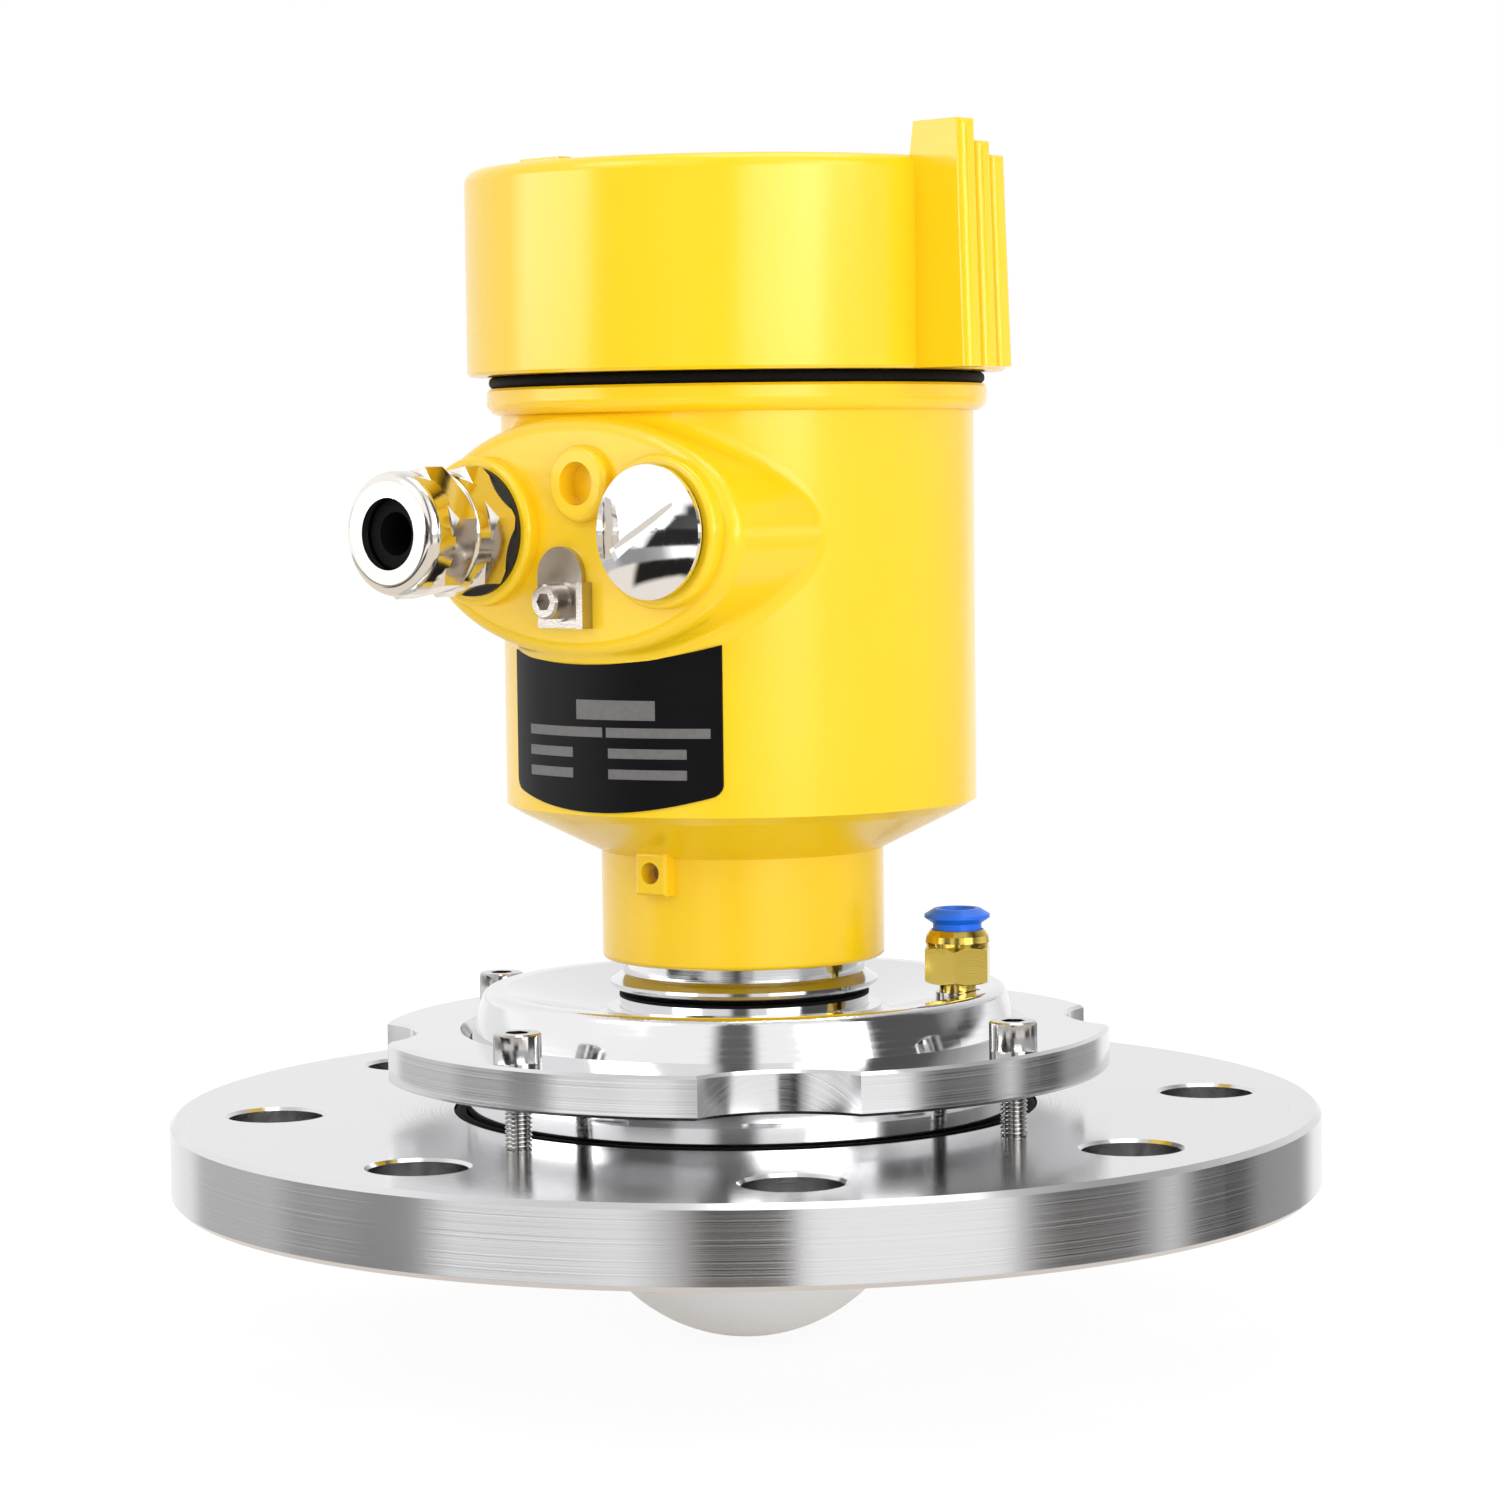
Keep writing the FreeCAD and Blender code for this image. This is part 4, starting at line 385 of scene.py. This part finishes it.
ring_steel, shader = start_material("ring_steel", (0.68, 0.68, 0.69), 1, 0.2)
lathe_marks(ring_steel, shader, pitch=0.0004, depth=0.03, rough_low=0.09, rough_high=0.16)
tint_by_noise(ring_steel, shader, (0.66, 0.66, 0.67), (0.72, 0.72, 0.73), 35)
dress(ring_steel, "clamp_ring", "lens_retaining_ring")

# Clamp screws.
# Four stainless socket screws with knurled heads, which pull the clamp ring down on the ball. Their
# threads show in the gap between the ring and the flange.

SCREW_CIRCLE = 0.064
SCREW_COUNT = 4
SCREW_RADIUS = 0.0025
SCREW_LENGTH = 0.025
SCREW_PITCH = 0.0008
SCREW_THREAD_DEPTH = 0.00042
SCREW_FLANK = 0.4 * SCREW_PITCH
SCREW_CREST = 0.2 * SCREW_PITCH
SCREW_HEAD_RADIUS = 0.0044
SCREW_HEAD_HEIGHT = 0.0054
SCREW_FLUTES = 48
SCREW_FOOT = 0.0003
SCREW_BAND = 0.0004
SCREW_CHAMFER = 0.0003
SCREW_CHAMFER_RATIO = 0.93
SCREW_KNURL_DEPTH = 0.00014
SCREW_KEY = 0.004
SMOOTH_BELOW = math.radians(30)

screw_steel, shader = start_material("screw_steel", (0.48, 0.47, 0.46), 1, 0.12)
tint_by_noise(screw_steel, shader, (0.42, 0.41, 0.40), (0.54, 0.53, 0.52), 300)
fine_grain(screw_steel, shader, 3000, 0.08, 0.0001)

ring_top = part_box("clamp_ring")[1].z


def pick(mesh_object, test):
    """In edit mode, selects the vertices that pass a test of their place, and nothing else."""
    bpy.ops.object.mode_set(mode="OBJECT")
    for polygon in mesh_object.data.polygons:
        polygon.select = False
    for edge in mesh_object.data.edges:
        edge.select = False
    for vertex in mesh_object.data.vertices:
        vertex.select = test(vertex.co)
    bpy.ops.object.mode_set(mode="EDIT")


def grow(rise, ratio):
    """Extrudes the selected face upwards and scales its new end about the origin's axis."""
    bpy.ops.mesh.extrude_region_move(TRANSFORM_OT_translate={"value": (0, 0, rise)})
    bpy.ops.transform.resize(value=(ratio, ratio, 1), center_override=(0, 0, 0))


def settle(mesh_object):
    """Ends a piece: faces outward, place in the mesh, smooth but for its sharp edges."""
    bpy.ops.object.mode_set(mode="EDIT")
    bpy.ops.mesh.select_all(action="SELECT")
    bpy.ops.mesh.normals_make_consistent(inside=False)
    bpy.ops.object.mode_set(mode="OBJECT")
    bpy.ops.object.transform_apply(location=True, rotation=True, scale=True)
    bpy.ops.object.shade_smooth_by_angle(angle=SMOOTH_BELOW)


bpy.ops.mesh.primitive_circle_add(vertices=SCREW_FLUTES, radius=SCREW_RADIUS - SCREW_THREAD_DEPTH,
                                  fill_type="NGON", location=(0, 0, 0))
screw = bpy.context.object
screw.name = "clamp_screw_1"
bpy.ops.object.mode_set(mode="EDIT")
bpy.ops.mesh.select_mode(type="FACE")
bpy.ops.mesh.select_all(action="SELECT")
open_ratio = SCREW_RADIUS / (SCREW_RADIUS - SCREW_THREAD_DEPTH)
turns = int(SCREW_LENGTH / SCREW_PITCH)
for index in range(turns):
    grow(SCREW_FLANK, open_ratio)
    grow(SCREW_CREST, 1)
    grow(SCREW_FLANK, 1 / open_ratio)
grow(SCREW_LENGTH - turns * SCREW_PITCH, 1)
grow(0, SCREW_HEAD_RADIUS / (SCREW_RADIUS - SCREW_THREAD_DEPTH))
grow(SCREW_FOOT, 1)
grow(SCREW_HEAD_HEIGHT - SCREW_FOOT - SCREW_BAND - SCREW_CHAMFER, 1)
grow(SCREW_BAND, 1)
grow(SCREW_CHAMFER, SCREW_CHAMFER_RATIO)
low = SCREW_LENGTH + 0.5 * SCREW_FOOT
high = SCREW_LENGTH + SCREW_HEAD_HEIGHT - SCREW_CHAMFER - 0.5 * SCREW_BAND


def on_every_second_flute(place):
    step = round(math.degrees(math.atan2(place.y, place.x)) / (360 / SCREW_FLUTES))
    return low < place.z < high and step % 2 == 0


pick(screw, on_every_second_flute)
knurl_ratio = 1 - SCREW_KNURL_DEPTH / SCREW_HEAD_RADIUS
bpy.ops.transform.resize(value=(knurl_ratio, knurl_ratio, 1), center_override=(0, 0, 0))
bpy.ops.object.mode_set(mode="OBJECT")
bpy.ops.mesh.primitive_cylinder_add(vertices=6, radius=SCREW_KEY / math.sqrt(3), depth=SCREW_HEAD_HEIGHT,
                                    location=(0, 0, SCREW_LENGTH + SCREW_HEAD_HEIGHT))
key = bpy.context.object
bpy.context.view_layer.objects.active = screw
cut = screw.modifiers.new("hexagon", "BOOLEAN")
cut.operation = "DIFFERENCE"
cut.object = key
bpy.ops.object.modifier_apply(modifier=cut.name)
bpy.data.objects.remove(key)
screw.location = (SCREW_CIRCLE, 0, ring_top - SCREW_LENGTH)
bpy.ops.object.select_all(action="DESELECT")
screw.select_set(True)
settle(screw)
screw.data.materials.append(screw_steel)
for index in range(SCREW_COUNT):
    copy = screw
    if index:
        copy = screw.copy()
        copy.data = screw.data.copy()
        copy.name = "clamp_screw_" + str(index + 1)
        bpy.context.scene.collection.objects.link(copy)
        copy.data.transform(Matrix.Rotation(2 * math.pi * index / SCREW_COUNT, 4, "Z"))
    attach(copy, "base")
    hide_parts("clamp_screws")

# Lens and horn.
# The white fluoropolymer lens closes the vessel side and shapes the beam; above it a turned
# aluminium horn leads up to the waveguide.

lens_plastic, shader = start_material("lens_plastic", (0.95, 0.95, 0.95), 0, 0.38)
shader.inputs["Subsurface Weight"].default_value = 0.15
shader.inputs["Subsurface Radius"].default_value = (0.004, 0.004, 0.004)
shader.inputs["Subsurface Scale"].default_value = 0.5
lathe_marks(lens_plastic, shader, pitch=0.0007, depth=0.05, rough_low=0.34, rough_high=0.44)
tint_by_noise(lens_plastic, shader, (0.93, 0.93, 0.93), (0.97, 0.97, 0.97), 60)
dress(lens_plastic, "antenna_lens")

horn_aluminium, shader = start_material("horn_aluminium", (0.75, 0.76, 0.77), 1, 0.3)
lathe_marks(horn_aluminium, shader, pitch=0.0005, depth=0.1, rough_low=0.24, rough_high=0.36)
tint_by_noise(horn_aluminium, shader, (0.70, 0.71, 0.72), (0.78, 0.79, 0.80), 50)
dress(horn_aluminium, "feed_horn")

# Stem with the radar module.
# The stainless stem is screwed into the ball and carries the housing; the radar circuit sits in a
# small metal can inside it.

stem_steel, shader = start_material("stem_steel", (0.74, 0.74, 0.75), 1, 0.15)
lathe_marks(stem_steel, shader, pitch=0.0004, depth=0.02, rough_low=0.06, rough_high=0.12)
tint_by_noise(stem_steel, shader, (0.72, 0.72, 0.73), (0.77, 0.77, 0.78), 60)
dress(stem_steel, "stem")

module_can, shader = start_material("module_can", (0.7, 0.71, 0.72), 1, 0.35)
tint_by_noise(module_can, shader, (0.66, 0.67, 0.68), (0.74, 0.75, 0.76), 120)
fine_grain(module_can, shader, 2500, 0.1, 0.0001)
dress(module_can, "radar_module")

# Purge air fitting.
# A small push-in fitting on the ball: a steel nipple, a turned brass body with a hexagon, and the
# blue plastic collar that lets the air tube go when it is pressed.

dress(screw_steel, "purge_nipple")
purge_low, purge_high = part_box("purge_fitting_body")
purge_axis = ((purge_low.x + purge_high.x) / 2, (purge_low.y + purge_high.y) / 2, 0)

fitting_brass, shader = start_material("fitting_brass", (0.60, 0.44, 0.09), 1, 0.16)
lathe_marks(fitting_brass, shader, purge_axis, pitch=0.0003, depth=0.05, rough_low=0.1, rough_high=0.18)
tint_by_noise(fitting_brass, shader, (0.56, 0.40, 0.07), (0.64, 0.48, 0.11), 150)
dress(fitting_brass, "purge_fitting_body")

collar_plastic, shader = start_material("collar_plastic", (0.003, 0.15, 0.84), 0, 0.35)
tint_by_noise(collar_plastic, shader, (0.002, 0.14, 0.80), (0.004, 0.16, 0.88), 100)
fine_grain(collar_plastic, shader, 2500, 0.1, 0.0001)
dress(collar_plastic, "purge_release_collar")

# Housing.
# The cast aluminium housing with its yellow powder coat: an even, glossy skin with a slight orange
# peel. The neck turns on the stem in a plastic bush and is kept on by a set screw.

housing_paint, shader = start_material("housing_paint", (0.95, 0.615, 0.008), 0, 0.24)
shader.inputs["Coat Weight"].default_value = 0.25
shader.inputs["Coat Roughness"].default_value = 0.1
tint_by_noise(housing_paint, shader, (0.93, 0.595, 0.006), (0.97, 0.635, 0.010), 25)
fine_grain(housing_paint, shader, 700, 0.12, 0.0003)
dress(housing_paint, "housing_body", "lid")

bush_plastic, shader = start_material("bush_plastic", (0.72, 0.68, 0.56), 0, 0.4)
tint_by_noise(bush_plastic, shader, (0.68, 0.64, 0.52), (0.75, 0.71, 0.60), 150)
dress(bush_plastic, "neck_bush")
dress(screw_steel, "neck_set_screw")

# Electronics under the lid.
# A black plastic cup over the main board, a half-round tower that carries the display, and a row of
# green terminals for the cable's wires.

cup_plastic, shader = start_material("cup_plastic", (0.022, 0.022, 0.024), 0, 0.45)
tint_by_noise(cup_plastic, shader, (0.018, 0.018, 0.020), (0.028, 0.028, 0.030), 80)
fine_grain(cup_plastic, shader, 1800, 0.3, 0.0002)
dress(cup_plastic, "electronics_cup", "display_carrier")

board, shader = start_material("board", (0.012, 0.10, 0.035), 0, 0.3)
tint_by_noise(board, shader, (0.008, 0.08, 0.028), (0.016, 0.13, 0.045), 300)
dress(board, "main_circuit_board")

terminal_plastic, shader = start_material("terminal_plastic", (0.03, 0.16, 0.05), 0, 0.4)
tint_by_noise(terminal_plastic, shader, (0.027, 0.15, 0.045), (0.034, 0.18, 0.058), 120)
fine_grain(terminal_plastic, shader, 1800, 0.2, 0.0002)
dress(terminal_plastic, "terminal_block")

terminal_metal, shader = start_material("terminal_metal", (0.7, 0.7, 0.68), 1, 0.3)
tint_by_noise(terminal_metal, shader, (0.62, 0.62, 0.60), (0.74, 0.74, 0.72), 400)
dress(terminal_metal, "terminal_screws")

# Display.
# The plug-in display and its four rubber keys, which are used with the lid off.

display_plastic, shader = start_material("display_plastic", (0.05, 0.05, 0.055), 0, 0.45)
tint_by_noise(display_plastic, shader, (0.045, 0.045, 0.050), (0.060, 0.060, 0.066), 90)
fine_grain(display_plastic, shader, 1600, 0.3, 0.0002)
dress(display_plastic, "display_module")

display_window, shader = start_material("display_window", (0.32, 0.37, 0.27), 0, 0.1)
shader.inputs["Coat Weight"].default_value = 0.8
tint_by_noise(display_window, shader, (0.30, 0.35, 0.25), (0.35, 0.40, 0.30), 60)
dress(display_window, "display_glass")

key_rubber, shader = start_material("key_rubber", (0.10, 0.10, 0.11), 0, 0.6)
tint_by_noise(key_rubber, shader, (0.09, 0.09, 0.10), (0.12, 0.12, 0.13), 200)
fine_grain(key_rubber, shader, 2000, 0.3, 0.0002)
dress(key_rubber, "display_key_1", "display_key_2", "display_key_3", "display_key_4")

# Cable gland.
# A nickel plated brass gland with a hexagon, a domed cap nut and a black seal for the cable.

gland_low, gland_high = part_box("gland_cap_nut")
gland_axis = ((gland_low.x + gland_high.x) / 2, 0, (gland_low.z + gland_high.z) / 2)

gland_nickel, shader = start_material("gland_nickel", (0.78, 0.74, 0.68), 1, 0.12)
lathe_marks(gland_nickel, shader, gland_axis, True, pitch=0.0004, depth=0.03, rough_low=0.08,
            rough_high=0.15)
tint_by_noise(gland_nickel, shader, (0.76, 0.72, 0.66), (0.80, 0.77, 0.71), 120)
dress(gland_nickel, "gland_body", "gland_cap_nut")

# The gaskets are black fibre, painted darker than the fibre itself as painted shade where they sit between
# the hexagons and the housing.
gasket_fibre, shader = start_material("gasket_fibre", (0.012, 0.011, 0.01), 0, 0.6)
tint_by_noise(gasket_fibre, shader, (0.009, 0.008, 0.007), (0.018, 0.016, 0.015), 500)
fine_grain(gasket_fibre, shader, 1500, 0.4, 0.0002)
dress(gasket_fibre, "gland_gasket", "plug_gasket")

# Blanking plug.
# The polished, chromed plug in the second entry, with a slot for a large screwdriver.

plug_chrome, shader = start_material("plug_chrome", (0.86, 0.86, 0.86), 1, 0.05)
plug_axis = (-gland_axis[0], 0, gland_axis[2])
lathe_marks(plug_chrome, shader, plug_axis, True, pitch=0.0006, depth=0.01, rough_low=0.03, rough_high=0.07)
tint_by_noise(plug_chrome, shader, (0.84, 0.84, 0.84), (0.88, 0.88, 0.88), 100)
dress(plug_chrome, "blanking_plug")

# Ground terminal.
# A bent stainless plate with a washer and a socket screw for the earth wire.

ground_steel, shader = start_material("ground_steel", (0.50, 0.46, 0.42), 1, 0.24)
tint_by_noise(ground_steel, shader, (0.42, 0.38, 0.34), (0.58, 0.54, 0.50), 350)
fine_grain(ground_steel, shader, 2000, 0.2, 0.0001)
dress(ground_steel, "ground_clamp", "ground_washer", "ground_screw")

# Nameplate.
# A black satin plate, bent to the barrel and glued on. Where such a plate has its print, this one has
# plain grey bars.

PLATE_RADIUS = 0.04535
BAR_THICKNESS = 0.00006
BAR_START = 0.00002
BAR_STEPS = 24
TITLE_HEIGHT = 0.0036
ROW_HEIGHT = 0.0018
# Each bar's ends, in degrees round the barrel from the middle of the entries, its level and its height.
BARS = [
    (-1.6, 19.9, 0.0934, TITLE_HEIGHT),
    (-19.3, 6.0, 0.0893, ROW_HEIGHT),
    (7.1, 33.0, 0.0893, ROW_HEIGHT),
    (-19.3, -3.0, 0.0855, ROW_HEIGHT),
    (7.6, 27.4, 0.0855, ROW_HEIGHT),
    (-19.3, -3.0, 0.0817, ROW_HEIGHT),
    (7.6, 27.4, 0.0817, ROW_HEIGHT),
]

plate_black, shader = start_material("plate_black", (0.004, 0.004, 0.005), 0, 0.35)
shader.inputs["Specular IOR Level"].default_value = 0.1
tint_by_noise(plate_black, shader, (0.003, 0.003, 0.004), (0.006, 0.006, 0.007), 120)
fine_grain(plate_black, shader, 1200, 0.05, 0.0001)
dress(plate_black, "nameplate")

plate_print, shader = start_material("plate_print", (0.14, 0.135, 0.13), 0, 0.5)
tint_by_noise(plate_print, shader, (0.11, 0.105, 0.10), (0.17, 0.165, 0.16), 900)


def printed_bar(name, left, right, middle, height):
    """A thin raised bar bent round the barrel, from its left to its right end seen from the front."""
    start = math.radians(left)
    end = math.radians(right)
    bpy.ops.mesh.primitive_cube_add(size=1, location=(0, -PLATE_RADIUS, middle))
    bar = bpy.context.object
    bar.name = name
    bar.scale = (BAR_START, 2 * BAR_THICKNESS, height)
    bpy.ops.object.transform_apply(location=True, rotation=False, scale=True)
    bar.data.transform(Matrix.Rotation(start, 4, "Z"))
    bpy.ops.object.mode_set(mode="EDIT")
    bpy.ops.mesh.select_mode(type="FACE")
    bpy.ops.mesh.select_all(action="DESELECT")
    bpy.ops.object.mode_set(mode="OBJECT")
    ahead = Matrix.Rotation(start, 3, "Z") @ Vector((1, 0, 0))
    for polygon in bar.data.polygons:
        polygon.select = polygon.normal.dot(ahead) > 0.9
    bpy.ops.object.mode_set(mode="EDIT")
    bpy.ops.mesh.spin(steps=BAR_STEPS, angle=end - start, center=(0, 0, 0), axis=(0, 0, -1))
    settle(bar)
    bar.data.materials.append(plate_print)
    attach(bar, "housing")


for number, sizes in enumerate(BARS, start=1):
    printed_bar("plate_bar_" + str(number), *sizes)
